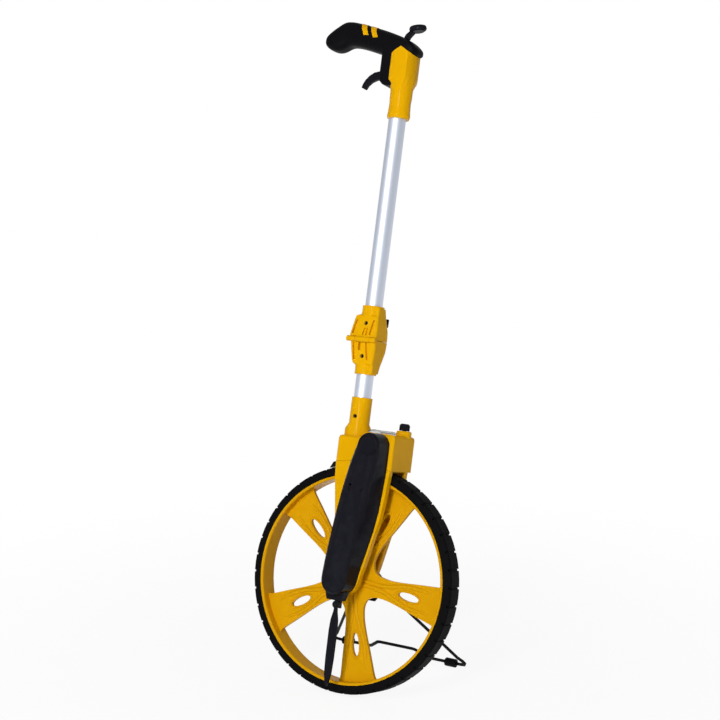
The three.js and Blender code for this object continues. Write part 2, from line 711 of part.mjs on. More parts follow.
function makeLeg(side) {
  const outline = legOutline();
  const tray = sided('y', outline, side, LEG_INNER, LEG_OUTER);
  const hollow = sided('y', inset(outline, LEG_WALL), side, LEG_INNER - OVERRUN, LEG_OUTER - LEG_SKIN);
  const ribs = Array.from({ length: LEG_RIBS }, (unused, i) => {
    const height = SEAM_RADIUS * (i + 1) / (LEG_RIBS + 1);
    return box(-LEG_FRONT_REACH, LEG_FRONT_REACH, -LEG_OUTER, LEG_OUTER,
      height - LEG_RIB_THICKNESS / 2, height + LEG_RIB_THICKNESS / 2);
  });
  const ribbed = joined(cut(tray, hollow), tray.intersect(joined(...ribs)));
  const boss = sided('y', circle(0, 0, BUSH_RADIUS + FIT + LEG_BOSS_WALL, 16), side, LEG_INNER, LEG_OUTER);
  const archInner = SEAM_RADIUS - ARCH_CLEARANCE;
  const tongueFace = LEG_OUTER - HOUSING_WALL - FIT;
  const floor = sided('y', archOutline(archInner, SEAM_RADIUS - FIT, FLOOR_BACK, FLOOR_FRONT),
    side, FIT / 2, tongueFace);
  const tongueFoot = SEAM_RADIUS - TONGUE_RISE;
  const tongueTop = SEAM_RADIUS + TONGUE_RISE;
  const tongue = sided('y', points([
    [TONGUE_BACK, tongueFoot], [TONGUE_FRONT, tongueFoot],
    [TONGUE_FRONT, tongueTop - HOUSING_CORNER], [TONGUE_FRONT - HOUSING_CORNER, tongueTop],
    [TONGUE_BACK + HOUSING_CORNER, tongueTop], [TONGUE_BACK, tongueTop - HOUSING_CORNER],
  ]), side, tongueFace - TONGUE_THICKNESS, tongueFace);
  const bore = rod('y', BUSH_RADIUS + FIT, -LEG_OUTER - OVERRUN, LEG_OUTER + OVERRUN);
  const leg = cut(joined(ribbed, boss, floor, tongue), bore);
  return cut(leg, ...(side < 0 ? caseScrewShanks() : standScrewShanks()));
}

function archOutline(inner, outer, back, front) {
  const inside = arc(0, 0, inner, Math.acos(back / inner), Math.acos(front / inner), 6);
  const outside = arc(0, 0, outer, Math.acos(front / outer), Math.acos(back / outer), 6);
  return [...inside, ...outside].reverse();
}

const CASE_SCREW_PLACES = [CASE_SCREW_BACK, CASE_SCREW_FRONT].map((forward) => [forward, CASE_SCREW_HEIGHT]);
const STAND_SCREW_PLACES = [-1, 1].map((side) => [side * STAND_SCREW_SIDE, -STAND_SCREW_DROP]);

function caseScrewShanks() {
  return CASE_SCREW_PLACES.map((place) => (
    rod('y', SCREW_RADIUS + FIT, CASE_FACE - OVERRUN, LEG_SKIN / 2 - LEG_OUTER, place, 8)));
}

function standScrewShanks() {
  const end = LEG_OUTER + BRACKET_PLATE_THICKNESS + OVERRUN;
  return STAND_SCREW_PLACES.map((place) => (
    rod('y', SCREW_RADIUS + FIT, LEG_OUTER - LEG_SKIN / 2, end, place, 8)));
}

// Counter housing with the tube socket
function housingBlock(margin, bottom) {
  const front = HOUSING_FRONT - margin;
  const back = HOUSING_BACK + margin;
  const neckTop = HOUSING_NECK_TOP - margin;
  const top = HOUSING_TOP - margin;
  const corner = HOUSING_CORNER - margin;
  const backAngle = Math.acos(back / bottom);
  const frontAngle = Math.acos(front / bottom);
  const step = HOUSING_STEP_AT + margin;
  const low = [
    ...arc(0, 0, bottom, backAngle, frontAngle, 1),
    ...arc(front - corner, neckTop - corner, corner, 0, FULL_TURN / 4, 2),
    ...arc(back + corner, neckTop - corner, corner, FULL_TURN / 4, FULL_TURN / 2, 2),
  ];
  const stepAngle = Math.acos(step / bottom);
  const high = [
    ...arc(0, 0, bottom, stepAngle, frontAngle, 1),
    ...arc(front - corner, top - corner, corner, 0, FULL_TURN / 4, 2),
    ...arc(step + corner, top - corner, corner, FULL_TURN / 4, FULL_TURN / 2, 2),
  ];
  const round = Math.max(corner, FIT) / 2;
  return joined(
    bevelledPlate('y', low, margin - LEG_OUTER, LEG_OUTER - margin, round),
    bevelledPlate('y', high, margin - LEG_OUTER, HOUSING_FAR - margin, round),
  );
}

function makeHousing() {
  const axis = [-TUBE_BEHIND_AXLE, 0];
  const knob = [KNOB_FORWARD, KNOB_SIDE];
  const block = cut(
    housingBlock(0, SEAM_RADIUS - HOUSING_CORNER * 2),
    rod('y', SEAM_RADIUS, -LEG_OUTER - OVERRUN, HOUSING_FAR + OVERRUN, [0, 0], 72),
  );
  const collar = stack('z', [
    { outline: circle(...axis, COLLAR_RADIUS, 16), level: HOUSING_NECK_TOP - HOUSING_WALL },
    { outline: circle(...axis, COLLAR_RADIUS, 16), level: COLLAR_TOP - COLLAR_TAPER / 4 },
    { outline: circle(...axis, SOCKET_RADIUS, 16), level: COLLAR_TOP + COLLAR_TAPER },
    { outline: circle(...axis, SOCKET_RADIUS, 16), level: SOCKET_TOP },
  ]);
  const boss = cappedPlate(circle(...knob, KNOB_BOSS_RADIUS, 16), 'z', HOUSING_TOP - HOUSING_WALL,
    HOUSING_TOP + KNOB_BOSS_HEIGHT, KNOB_ROUND / 2);
  const seatTop = TUBE_SEAT_HEIGHT + TUBE_SEAT_THICKNESS;
  const seat = box(HOUSING_BACK + HOUSING_WALL / 2, TUBE_RADIUS - TUBE_BEHIND_AXLE, -TUBE_RADIUS, TUBE_RADIUS,
    TUBE_SEAT_HEIGHT, seatTop);
  const lugs = [-1, 1].map((side) => box(
    -BRAKE_PIVOT_BACK - BRAKE_BOSS_RADIUS, BRAKE_BOSS_RADIUS - BRAKE_PIVOT_BACK,
    side * (BRAKE_HALF + FIT), side * (BRAKE_HALF + BRAKE_LUG_THICKNESS),
    BRAKE_PIVOT_HEIGHT - BRAKE_BOSS_RADIUS, seatTop - FIT));
  const inside = housingBlock(HOUSING_WALL, SEAM_RADIUS - HOUSING_CORNER * 2);
  const hollowed = joined(cut(joined(block, collar, boss), inside), seat, ...lugs);
  return cut(
    hollowed,
    rod('z', TUBE_RADIUS + FIT, seatTop, SOCKET_TOP + OVERRUN, axis, 16),
    rod('y', COUNTER_SHAFT_RADIUS + FIT, -LEG_OUTER - OVERRUN, OVERRUN - LEG_OUTER,
      [SHAFT_FORWARD, SHAFT_HEIGHT], 16),
    rod('y', BRAKE_PIN_RADIUS + FIT, -BRAKE_PIN_HALF - OVERRUN, BRAKE_PIN_HALF + OVERRUN,
      [-BRAKE_PIVOT_BACK, BRAKE_PIVOT_HEIGHT], 8),
    box(HOUSING_BACK - OVERRUN, HOUSING_BACK + HOUSING_WALL + FIT, -BRAKE_HALF - FIT, BRAKE_HALF + FIT,
      SEAM_RADIUS / 2, TUBE_SEAT_HEIGHT),
    box(WINDOW_BACK + WINDOW_LIP, WINDOW_FRONT - WINDOW_LIP,
      WINDOW_LIP - WINDOW_HALF, WINDOW_HALF - WINDOW_LIP,
      HOUSING_TOP - HOUSING_WALL - FIT, HOUSING_TOP + OVERRUN),
    rod('z', KNOB_STEM_RADIUS + FIT, HOUSING_TOP - HOUSING_WALL - OVERRUN,
      HOUSING_TOP + KNOB_BOSS_HEIGHT + OVERRUN, knob, 8),
    rod('y', GRUB_RADIUS + FIT, -SOCKET_RADIUS - OVERRUN, 0, [-TUBE_BEHIND_AXLE, SOCKET_SCREW_HEIGHT], 8),
  );
}

function makeSocketScrew() {
  const place = [-TUBE_BEHIND_AXLE, SOCKET_SCREW_HEIGHT];
  const face = FIT - SOCKET_RADIUS;
  const grub = rod('y', GRUB_RADIUS, face, -TUBE_RADIUS - FIT, place, 8);
  return cut(grub, driveSlot(place, face, -1));
}

// A slot for the screwdriver in a screw face; side is the way the face looks along Y.
function driveSlot([forward, height], face, side) {
  return box(forward - SCREW_HEAD_RADIUS, forward + SCREW_HEAD_RADIUS,
    face - side * SLOT_DEPTH, face + side * OVERRUN, height - SLOT_HALF, height + SLOT_HALF);
}

function screw(side, place, face, tip) {
  const head = rod('y', SCREW_HEAD_RADIUS, face, face - side * SCREW_HEAD_HEIGHT, place, 8);
  const shank = rod('y', SCREW_RADIUS, face - side * SCREW_HEAD_HEIGHT / 2, tip, place, 6);
  return cut(joined(head, shank), driveSlot(place, face, side));
}

// Belt case
const CASE_TILT = Math.atan2(SHAFT_FORWARD, SHAFT_HEIGHT);
const SHAFT_DISTANCE = Math.hypot(SHAFT_FORWARD, SHAFT_HEIGHT);

function caseOutline(frontShares) {
  const local = [
    ...arc(0, 0, CASE_BOTTOM_RADIUS, Math.PI + ARC_TRIM, FULL_TURN - ARC_TRIM, 7),
    ...points(CASE_SIDE_AT_SHARES.map((at, i) => [frontShares[i] * CASE_BOTTOM_RADIUS, at * SHAFT_DISTANCE])),
    ...arc(0, SHAFT_DISTANCE, CASE_TOP_RADIUS, 0, Math.PI, 7),
    ...points(CASE_SIDE_AT_SHARES.map((at, i) => (
      [-CASE_REAR_SHARES[i] * CASE_BOTTOM_RADIUS, at * SHAFT_DISTANCE])).reverse()),
  ];
  return local.map((point) => point.rotateAround(new THREE.Vector2(), -CASE_TILT));
}

function makeCaseTray() {
  const tray = plate('y', caseOutline(CASE_FRONT_BACK_SHARES), CASE_BACK - CASE_TRAY, CASE_BACK);
  return cut(
    tray,
    rod('y', AXLE_RADIUS + FIT, CASE_FACE, 0),
    rod('y', COUNTER_SHAFT_RADIUS + FIT, CASE_FACE, 0, [SHAFT_FORWARD, SHAFT_HEIGHT]),
    ...caseScrewShanks(),
  );
}

function makeCaseCover() {
  const back = CASE_BACK - CASE_TRAY - FIT;
  const wide = caseOutline(CASE_FRONT_BACK_SHARES);
  const narrow = caseOutline(CASE_FRONT_FACE_SHARES);
  const skin = stack('y', [
    { outline: wide, level: back },
    { outline: narrow, level: CASE_FACE + CASE_ROUND },
    { outline: inset(narrow, CASE_ROUND), level: CASE_FACE },
  ]);
  const hollow = stack('y', [
    { outline: inset(wide, CASE_WALL), level: back + OVERRUN },
    { outline: inset(wide, CASE_WALL), level: back },
    { outline: inset(narrow, CASE_WALL), level: CASE_FACE + CASE_WALL },
  ]);
  const pocketFloor = CASE_FACE + SCREW_HOLE_DEPTH + SCREW_HEAD_HEIGHT + FIT;
  const pocketRadius = SCREW_HEAD_RADIUS + FIT;
  const posts = CASE_SCREW_PLACES.map((place) => (
    rod('y', pocketRadius + CASE_WALL / 3, CASE_FACE + CASE_WALL / 2, pocketFloor + CASE_WALL, place, 8)));
  const pockets = CASE_SCREW_PLACES.map((place) => (
    rod('y', pocketRadius, CASE_FACE - OVERRUN, pocketFloor, place, 8)));
  return cut(joined(cut(skin, hollow), ...posts), ...pockets, ...caseScrewShanks());
}

function makeCaseScrew(place) {
  return screw(-1, place, CASE_FACE + SCREW_HOLE_DEPTH, LEG_SKIN / 2 - LEG_OUTER - FIT);
}

function makeCaseCap() {
  return cappedPlate(circle(SHAFT_FORWARD, SHAFT_HEIGHT, CASE_CAP_RADIUS, 20), 'y',
    CASE_FACE - FIT, CASE_FACE - FIT - CASE_CAP_THICKNESS, CASE_CAP_THICKNESS / 2);
}

function cappedPlate(outline, axis, seat, face, bevel) {
  const inward = Math.sign(seat - face);
  return stack(axis, [
    { outline, level: seat },
    { outline, level: face + inward * bevel },
    { outline: inset(outline, bevel), level: face },
  ]);
}

function makePulley(bore) {
  const groove = PULLEY_HALF - PULLEY_FLANGE_THICKNESS;
  const outer = PULLEY_RADIUS + PULLEY_FLANGE;
  return turned([
    [bore, -PULLEY_HALF], [outer, -PULLEY_HALF], [outer, -groove], [PULLEY_RADIUS, -groove],
    [PULLEY_RADIUS, groove], [outer, groove], [outer, PULLEY_HALF], [bore, PULLEY_HALF],
  ], 14);
}

function makeBelt() {
  const loop = (radius) => {
    const local = [
      ...arc(0, 0, radius, Math.PI, FULL_TURN, 8),
      ...arc(0, SHAFT_DISTANCE, radius, 0, Math.PI, 8),
    ];
    return local.map((point) => point.rotateAround(new THREE.Vector2(), -CASE_TILT));
  };
  const inner = PULLEY_RADIUS + FIT;
  return cut(
    plate('y', loop(inner + BELT_THICKNESS), BELT_PLANE - BELT_HALF, BELT_PLANE + BELT_HALF),
    plate('y', loop(inner), BELT_PLANE - BELT_HALF - OVERRUN, BELT_PLANE + BELT_HALF + OVERRUN),
  );
}

// Counter
function makeNumberWheel() {
  const half = NUMBER_WHEEL_WIDTH / 2;
  const bore = COUNTER_SHAFT_RADIUS + FIT;
  return turned([
    [bore, -half], [NUMBER_WHEEL_RADIUS, -half], [NUMBER_WHEEL_RADIUS, half], [bore, half],
  ], DIGITS * 2);
}

function makePinions() {
  const at = [SHAFT_FORWARD + PINION_FORWARD, SHAFT_HEIGHT - PINION_DROP];
  const outline = Array.from({ length: PINION_TEETH * 2 }, (unused, i) => {
    const angle = FULL_TURN * i / (PINION_TEETH * 2);
    const radius = PINION_RADIUS - (i % 2) * TOOTH_DEPTH;
    return new THREE.Vector2(at[0] + radius * Math.cos(angle), at[1] + radius * Math.sin(angle));
  });
  const places = Array.from({ length: NUMBER_WHEELS - 1 }, (unused, i) => (
    NUMBER_WHEEL_PITCH * (i - (NUMBER_WHEELS - 2) / 2)));
  const shaft = rod('y', PINION_SHAFT_RADIUS, -FRAME_HALF, FRAME_HALF, at, 8);
  const half = PINION_WIDTH / 2;
  return joined(shaft, ...places.map((place) => plate('y', outline, place - half, place + half)));
}

function makeCounterFrame() {
  const cheek = points([
    [FRAME_BACK, FRAME_FLOOR], [FRAME_FRONT, FRAME_FLOOR],
    [FRAME_FRONT, SHAFT_HEIGHT - PINION_DROP + PINION_RADIUS],
    [SHAFT_FORWARD + PINION_RADIUS, FRAME_TOP], [SHAFT_FORWARD - PINION_RADIUS, FRAME_TOP],
  ]);
  const block = plate('y', cheek, -FRAME_HALF, FRAME_HALF);
  const hollow = box(FRAME_BACK - OVERRUN, FRAME_FRONT + OVERRUN,
    FRAME_SHEET - FRAME_HALF, FRAME_HALF - FRAME_SHEET, FRAME_FLOOR + FRAME_SHEET, FRAME_TOP + OVERRUN);
  const reach = FRAME_HALF + OVERRUN;
  return cut(
    block, hollow,
    rod('y', COUNTER_SHAFT_RADIUS + FIT, -reach, reach, [SHAFT_FORWARD, SHAFT_HEIGHT], 16),
    rod('y', PINION_SHAFT_RADIUS + FIT, -reach, reach,
      [SHAFT_FORWARD + PINION_FORWARD, SHAFT_HEIGHT - PINION_DROP], 8),
  );
}

function archedOutline(back, front, foot, rise) {
  const steps = 8;
  const curve = Array.from({ length: steps + 1 }, (unused, i) => {
    const share = i / steps;
    return new THREE.Vector2(front + (back - front) * share, foot + rise * Math.sin(Math.PI * share) ** 0.5);
  });
  return [new THREE.Vector2(back, foot - FIT), new THREE.Vector2(front, foot - FIT), ...curve];
}

function makeWindow() {
  const foot = HOUSING_TOP + FIT * 2;
  const arch = archedOutline(WINDOW_BACK, WINDOW_FRONT, foot, WINDOW_RISE);
  const dome = plate('y', arch, -WINDOW_HALF, WINDOW_HALF);
  const back = WINDOW_BACK + WINDOW_WALL;
  const front = WINDOW_FRONT - WINDOW_WALL;
  const half = WINDOW_HALF - WINDOW_WALL;
  const inside = plate('y', archedOutline(back, front, foot, WINDOW_RISE - WINDOW_WALL), -half, half);
  const open = box(back, front, -half, half, HOUSING_TOP - OVERRUN, foot);
  return cut(dome, inside, open);
}

function makeKnob() {
  const outline = Array.from({ length: KNOB_FLUTES * 3 }, (unused, i) => {
    const angle = FULL_TURN * i / (KNOB_FLUTES * 3);
    const radius = KNOB_RADIUS - KNOB_FLUTE_DEPTH * (1 - Math.cos(angle * KNOB_FLUTES)) / 2;
    return new THREE.Vector2(radius * Math.cos(angle), radius * Math.sin(angle));
  });
  const cap = stack('z', [
    { outline, level: 0 },
    { outline, level: KNOB_HEIGHT - KNOB_ROUND },
    { outline: inset(outline, KNOB_ROUND), level: KNOB_HEIGHT },
  ]);
  return joined(cap, rod('z', KNOB_STEM_RADIUS, -KNOB_BOSS_HEIGHT - KNOB_STEM_DEPTH, KNOB_ROUND, [0, 0], 8));
}

// Pointer that hangs in front of the wheel and marks where the tyre touches the ground
const POINTER_PIVOT = [POINTER_FORWARD, -POINTER_PIVOT_DROP];

function makePointerBracket() {
  const near = POINTER_SIDE - BRACKET_HALF / 2;
  const block = bevelledPlate('y', points([
    [BRACKET_BACK + BRACKET_TAPER, -BRACKET_DROP], [BRACKET_FRONT - BRACKET_TAPER, -BRACKET_DROP],
    [BRACKET_FRONT, BRACKET_TAPER * 3 - BRACKET_DROP], [BRACKET_FRONT, 0],
    [BRACKET_BACK, 0], [BRACKET_BACK, BRACKET_TAPER * 3 - BRACKET_DROP],
  ]), near, near + BRACKET_HALF * 2, FIT * 2);
  const tongueFace = POINTER_SIDE + POINTER_EYE_HALF + FIT;
  const tongueFoot = -POINTER_PIVOT_DROP - BRACKET_TONGUE_HALF;
  const tongueBack = POINTER_FORWARD - BRACKET_TONGUE_HALF;
  const tongueFront = POINTER_FORWARD + BRACKET_TONGUE_HALF;
  const tongue = plate('y', points([
    [tongueBack, tongueFoot], [tongueFront, tongueFoot],
    [tongueFront, -BRACKET_DROP / 2], [tongueBack, -BRACKET_DROP / 2],
  ]), tongueFace, tongueFace + BRACKET_TONGUE_THICKNESS);
  return cut(
    joined(block, tongue),
    rod('y', CASE_BOTTOM_RADIUS + FIT, CASE_FACE - OVERRUN, 0, [0, 0], 32),
    rod('y', POINTER_EYE_RADIUS + FIT * 2, CASE_FACE, tongueFace, POINTER_PIVOT),
    rod('y', BRAKE_PIN_RADIUS + FIT, CASE_FACE, 0, POINTER_PIVOT, 8),
  );
}

function makePointer() {
  const eye = rod('y', POINTER_EYE_RADIUS, -POINTER_EYE_HALF, POINTER_EYE_HALF, [0, 0], 16);
  const length = POINTER_TIP_DROP - POINTER_PIVOT_DROP;
  const right = POINTER_SIDE_SHARES.map(([down, out]) => [out * POINTER_HALF_WIDTH, -down * length]);
  const left = right.map(([x, z]) => [-x, z]).reverse();
  const outline = points([[POINTER_NECK_HALF, 0], ...right, ...left, [-POINTER_NECK_HALF, 0]]);
  const needle = plate('y', outline, -POINTER_HALF_THICKNESS, POINTER_HALF_THICKNESS);
  const reach = POINTER_EYE_HALF + OVERRUN;
  const bore = rod('y', BRAKE_PIN_RADIUS + FIT, -reach, reach, [0, 0], 8);
  return cut(joined(eye, needle), bore);
}

function makePointerPin() {
  const headSeat = POINTER_SIDE - POINTER_EYE_HALF - FIT;
  const end = POINTER_SIDE + POINTER_EYE_HALF + FIT + BRACKET_TONGUE_THICKNESS;
  return joined(
    rod('y', SCREW_HEAD_RADIUS, headSeat - SCREW_HEAD_HEIGHT / 2, headSeat, POINTER_PIVOT, 8),
    rod('y', BRAKE_PIN_RADIUS, headSeat - FIT, end, POINTER_PIVOT, 8),
  );
}

// Brake arm, drawn from its pivot pin
function makeBrakeArm() {
  const shoe = TYRE_RADIUS + BRAKE_GAP;
  const at = (back, radius) => (
    [BRAKE_PIVOT_BACK - back, Math.sqrt(radius ** 2 - back ** 2) - BRAKE_PIVOT_HEIGHT]);
  const rise = BRAKE_BOSS_RADIUS;
  const heel = BRAKE_PIVOT_BACK * 2;
  const arm = plate('y', points([
    [0, rise * BRAKE_NECK_SHARE], [0, -rise * BRAKE_NECK_SHARE],
    at(FIT - FLOOR_BACK, SEAM_RADIUS + rise / 2), at(heel, shoe + rise), at(heel + rise, shoe),
    at(BRAKE_TIP_BACK, shoe), at(BRAKE_TIP_BACK - BRAKE_BLADE * 3 / 4, shoe + BRAKE_BLADE),
    at(heel + rise, shoe + BRAKE_BLADE), at(-HOUSING_BACK, shoe + rise * 3),
  ]), -BRAKE_HALF, BRAKE_HALF);
  const boss = rod('y', BRAKE_BOSS_RADIUS, -BRAKE_HALF, BRAKE_HALF, [0, 0], 16);
  const bore = rod('y', BRAKE_PIN_RADIUS + FIT, -BRAKE_HALF - OVERRUN, BRAKE_HALF + OVERRUN, [0, 0], 8);
  return cut(joined(arm, boss), bore);
}

function makeTube(from, to) {
  return turnedUpright([
    [TUBE_RADIUS - TUBE_WALL, from], [TUBE_RADIUS, from], [TUBE_RADIUS, to], [TUBE_RADIUS - TUBE_WALL, to],
  ], 20);
}

function turnedUpright(profile, segments) {
  const upright = new THREE.LatheGeometry(points([...profile, profile[0]]), segments);
  upright.rotateX(FULL_TURN / 4);
  return solidOf(upright);
}

// Hinge shells. The tube axis is the origin and the parting face is at zero height.
function hingeBlock(side, blockLength, foot) {
  const taper = side < 0 ? HINGE_LOWER_TAPER : 0;
  const block = stack('z', HINGE_SECTION_SHARES.map(([up, back, front, near, far]) => ({
    outline: chamfered(
      [(taper * up - back) * HINGE_HALF, front * HINGE_HALF], [-near * HINGE_NEAR, far * HINGE_FAR]),
    level: side * (FIT / 2 + up * blockLength),
  })));
  const collar = stack('z', [
    { outline: circle(0, 0, HINGE_COLLAR_RADIUS, 16), level: side * HINGE_FLOOR },
    { outline: circle(0, 0, HINGE_COLLAR_RADIUS, 16), level: side * (foot - HINGE_COLLAR_ROUND) },
    { outline: circle(0, 0, HINGE_COLLAR_RADIUS - HINGE_COLLAR_ROUND, 16), level: side * foot },
  ]);
  return joined(block, collar);
}

function chamfered([x0, x1], [y0, y1]) {
  return points([
    [x0 + HINGE_ROUND, y0], [x1 - HINGE_ROUND, y0], [x1, y0 + HINGE_ROUND], [x1, y1 - HINGE_ROUND],
    [x1 - HINGE_ROUND, y1], [x0 + HINGE_ROUND, y1], [x0, y1 - HINGE_ROUND], [x0, y0 + HINGE_ROUND],
  ]);
}

function knuckle(radius, from, to) {
  return rod('x', radius, from, to, [-HINGE_NEAR, 0], 8);
}

function hingeSlots(side, shares, blockLength) {
  const low = side * blockLength * HINGE_SLOT_FOOT_SHARE;
  const high = side * blockLength * HINGE_SLOT_TOP_SHARE;
  const slope = HINGE_NEAR * (1 - HINGE_SECTION_SHARES[3][3]) * HINGE_SLOT_TOP_SHARE;
  return shares.map((share) => {
    const middle = share * HINGE_HALF;
    const outline = points([
      [-HINGE_NEAR - OVERRUN * 2, low], [HINGE_SLOT_DEPTH - HINGE_NEAR, low],
      [HINGE_SLOT_DEPTH + slope - HINGE_NEAR, high], [-HINGE_NEAR - OVERRUN * 2, high],
    ]);
    return plate('x', outline, middle - HINGE_SLOT_WIDTH / 2, middle + HINGE_SLOT_WIDTH / 2);
  });
}

function hingeScrewHole(height) {
  const floor = HINGE_SCREW_FACE + SCREW_HEAD_HEIGHT + FIT;
  return joined(
    rod('y', SCREW_RADIUS + FIT, -HINGE_NEAR, 0, [0, height], 8),
    rod('y', SCREW_HEAD_RADIUS + FIT, -HINGE_NEAR - OVERRUN, floor, [0, height], 8),
  );
}

function latchPocket(low, high) {
  return box(-LATCH_HALF - FIT, LATCH_HALF + FIT, LATCH_POCKET_SIDE, HINGE_FAR + OVERRUN * 2, low, high);
}

function makeHingeUpper() {
  const clearance = KNUCKLE_RADIUS + FIT * 2;
  const cleared = cut(
    hingeBlock(1, HINGE_UPPER_BLOCK, HINGE_UPPER_LENGTH),
    knuckle(clearance, KNUCKLE_SPLIT - FIT / 2, HINGE_HALF + OVERRUN),
    knuckle(clearance, -HINGE_HALF - OVERRUN, FIT / 2 - KNUCKLE_SPLIT),
    ...hingeSlots(1, HINGE_UPPER_SLOT_SHARES, HINGE_UPPER_BLOCK),
  );
  return cut(
    joined(cleared, knuckle(KNUCKLE_RADIUS, FIT / 2 - KNUCKLE_SPLIT, KNUCKLE_SPLIT - FIT / 2)),
    knuckle(HINGE_PIN_RADIUS + FIT, -HINGE_HALF - OVERRUN, HINGE_HALF + OVERRUN),
    rod('z', TUBE_RADIUS + FIT, HINGE_FLOOR - FIT, HINGE_UPPER_LENGTH + OVERRUN, [0, 0], 16),
    latchPocket(-OVERRUN, LATCH_POCKET_HEIGHT),
    rod('x', LATCH_PIN_RADIUS + FIT, -LATCH_PIN_HALF - FIT, LATCH_PIN_HALF + FIT,
      [LATCH_PIVOT_SIDE, LATCH_PIVOT_HEIGHT], 8),
    hingeScrewHole(HINGE_SCREW_HEIGHT),
  );
}

function makeHingeLower() {
  const clearance = KNUCKLE_RADIUS + FIT * 2;
  const slotHalf = HINGE_DEEP_SLOT_WIDTH / 2;
  const deepSlot = box(HINGE_DEEP_SLOT_AT - slotHalf, HINGE_DEEP_SLOT_AT + slotHalf,
    -HINGE_NEAR - OVERRUN, HINGE_SLOT_DEPTH - HINGE_NEAR, HINGE_DEEP_SLOT_FOOT, -clearance);
  const cleared = cut(
    hingeBlock(-1, HINGE_LOWER_BLOCK, HINGE_LOWER_LENGTH),
    knuckle(clearance, -KNUCKLE_SPLIT - FIT / 2, KNUCKLE_SPLIT + FIT / 2),
    ...hingeSlots(-1, HINGE_LOWER_SLOT_SHARES, HINGE_LOWER_BLOCK),
    deepSlot,
  );
  return cut(
    joined(
      cleared,
      knuckle(KNUCKLE_RADIUS, KNUCKLE_SPLIT + FIT / 2, HINGE_HALF),
      knuckle(KNUCKLE_RADIUS, -HINGE_HALF - KNUCKLE_CAP, -KNUCKLE_SPLIT - FIT / 2),
    ),
    knuckle(HINGE_PIN_RADIUS + FIT, -HINGE_HALF - FIT, HINGE_HALF + OVERRUN),
    rod('z', TUBE_RADIUS + FIT, -HINGE_LOWER_LENGTH - OVERRUN, FIT - HINGE_FLOOR, [0, 0], 16),
    latchPocket(-LATCH_NOTCH_DEPTH, OVERRUN),
    hingeScrewHole(-HINGE_SCREW_HEIGHT),
  );
}

function makeHingePin() {
  return knuckle(HINGE_PIN_RADIUS, -HINGE_HALF, HINGE_HALF - HINGE_PIN_RECESS);
}

function makeHingeScrew(height) {
  return screw(-1, [0, height], HINGE_SCREW_FACE, -TUBE_RADIUS - FIT);
}

function makeLatch() {
  const outline = points(LATCH_OUTLINE_SHARES.map(([out, up]) => (
    [out * LATCH_FINGER_SIDE, up * LATCH_FINGER_HEIGHT])));
  const lever = bevelledPlate('x', outline, -LATCH_HALF, LATCH_HALF, FIT * 2);
  const boss = rod('x', LATCH_PIN_RADIUS + FIT * 3, -LATCH_HALF, LATCH_HALF, [0, 0], 8);
  const bore = rod('x', LATCH_PIN_RADIUS + FIT, -LATCH_HALF - OVERRUN, LATCH_HALF + OVERRUN, [0, 0], 8);
  return cut(joined(lever, boss), bore);
}

function makeLatchPin() {
  const place = [LATCH_PIVOT_SIDE, LATCH_PIVOT_HEIGHT];
  return rod('x', LATCH_PIN_RADIUS, -LATCH_PIN_HALF, LATCH_PIN_HALF, place, 8);
}

// Handle: the origin is on the tube axis at the mouth of the socket.
function socketRing(boxed, scale, margin) {
  const last = SOCKET_BOXED_SHARES.length - 1;
  const half = SOCKET_BOXED_SHARES.map(([x, y], i) => {
    const angle = FULL_TURN / 2 * i / last;
    const crease = i === 3 ? SOCKET_CREASE_SHARE : 1;
    const round = new THREE.Vector2(Math.cos(angle), Math.sin(angle));
    round.multiplyScalar(SOCKET_ROUND_RADIUS * crease);
    round.x += SOCKET_ROUND_FORWARD;
    const point = round.lerp(new THREE.Vector2(x * SOCKET_HALF, y * SOCKET_SIDE_HALF), boxed);
    return point.setLength(point.length() * scale + margin);
  });
  const mirrored = half.slice(1, last).reverse().map((point) => new THREE.Vector2(point.x, -point.y));
  return [...half, ...mirrored];
}

function socketBody(margin) {
  const body = stack('z', SOCKET_SECTION_SHARES.map(([up, boxed, scale]) => ({
    outline: socketRing(boxed, scale, margin),
    level: up * (SOCKET_LENGTH + margin),
  })));
  const peak = SOCKET_LENGTH + margin;
  const reach = SOCKET_HALF * 2;
  const gable = plate('y', points([
    [SOCKET_APEX - reach, -OVERRUN], [SOCKET_APEX + reach, -OVERRUN],
    [SOCKET_APEX + reach, peak - reach * SOCKET_GABLE_SLOPE],
    [SOCKET_APEX, peak], [SOCKET_APEX - reach, peak - reach * SOCKET_GABLE_SLOPE],
  ]), -reach, reach);
  return body.intersect(gable);
}

function halfOf(solid, side) {
  return solid.intersect(
    box(-GRIP_BACK * 2, GRIP_BACK, side * FIT / 2, side * GRIP_BACK, -GRIP_TOP, GRIP_TOP * 2));
}

function handleScrewHoles() {
  return joined(...HANDLE_SCREW_PLACES.flatMap(([forward, height, face]) => [
    rod('y', SCREW_RADIUS + FIT, HANDLE_SCREW_TIP - FIT, face, [forward, height], 8),
    rod('y', SCREW_HEAD_RADIUS + FIT, face - SCREW_HEAD_HEIGHT - FIT, face + OVERRUN, [forward, height], 8),
  ]));
}

function makeHandleHalf(side) {
  return halfOf(cut(
    socketBody(0),
    rod('z', TUBE_RADIUS + FIT, -OVERRUN, HANDLE_BORE, [0, 0], 16),
    handleScrewHoles(),
  ), side);
}

function gripRing(bottom, top, halfWidth) {
  return circle(0, 0, 1, 12).map((point) => new THREE.Vector2(
    halfWidth * Math.sign(point.x) * Math.abs(point.x) ** GRIP_SQUARE_SHARE,
    (top + bottom) / 2 + (top - bottom) / 2 * Math.sign(point.y) * Math.abs(point.y) ** GRIP_SQUARE_SHARE));
}

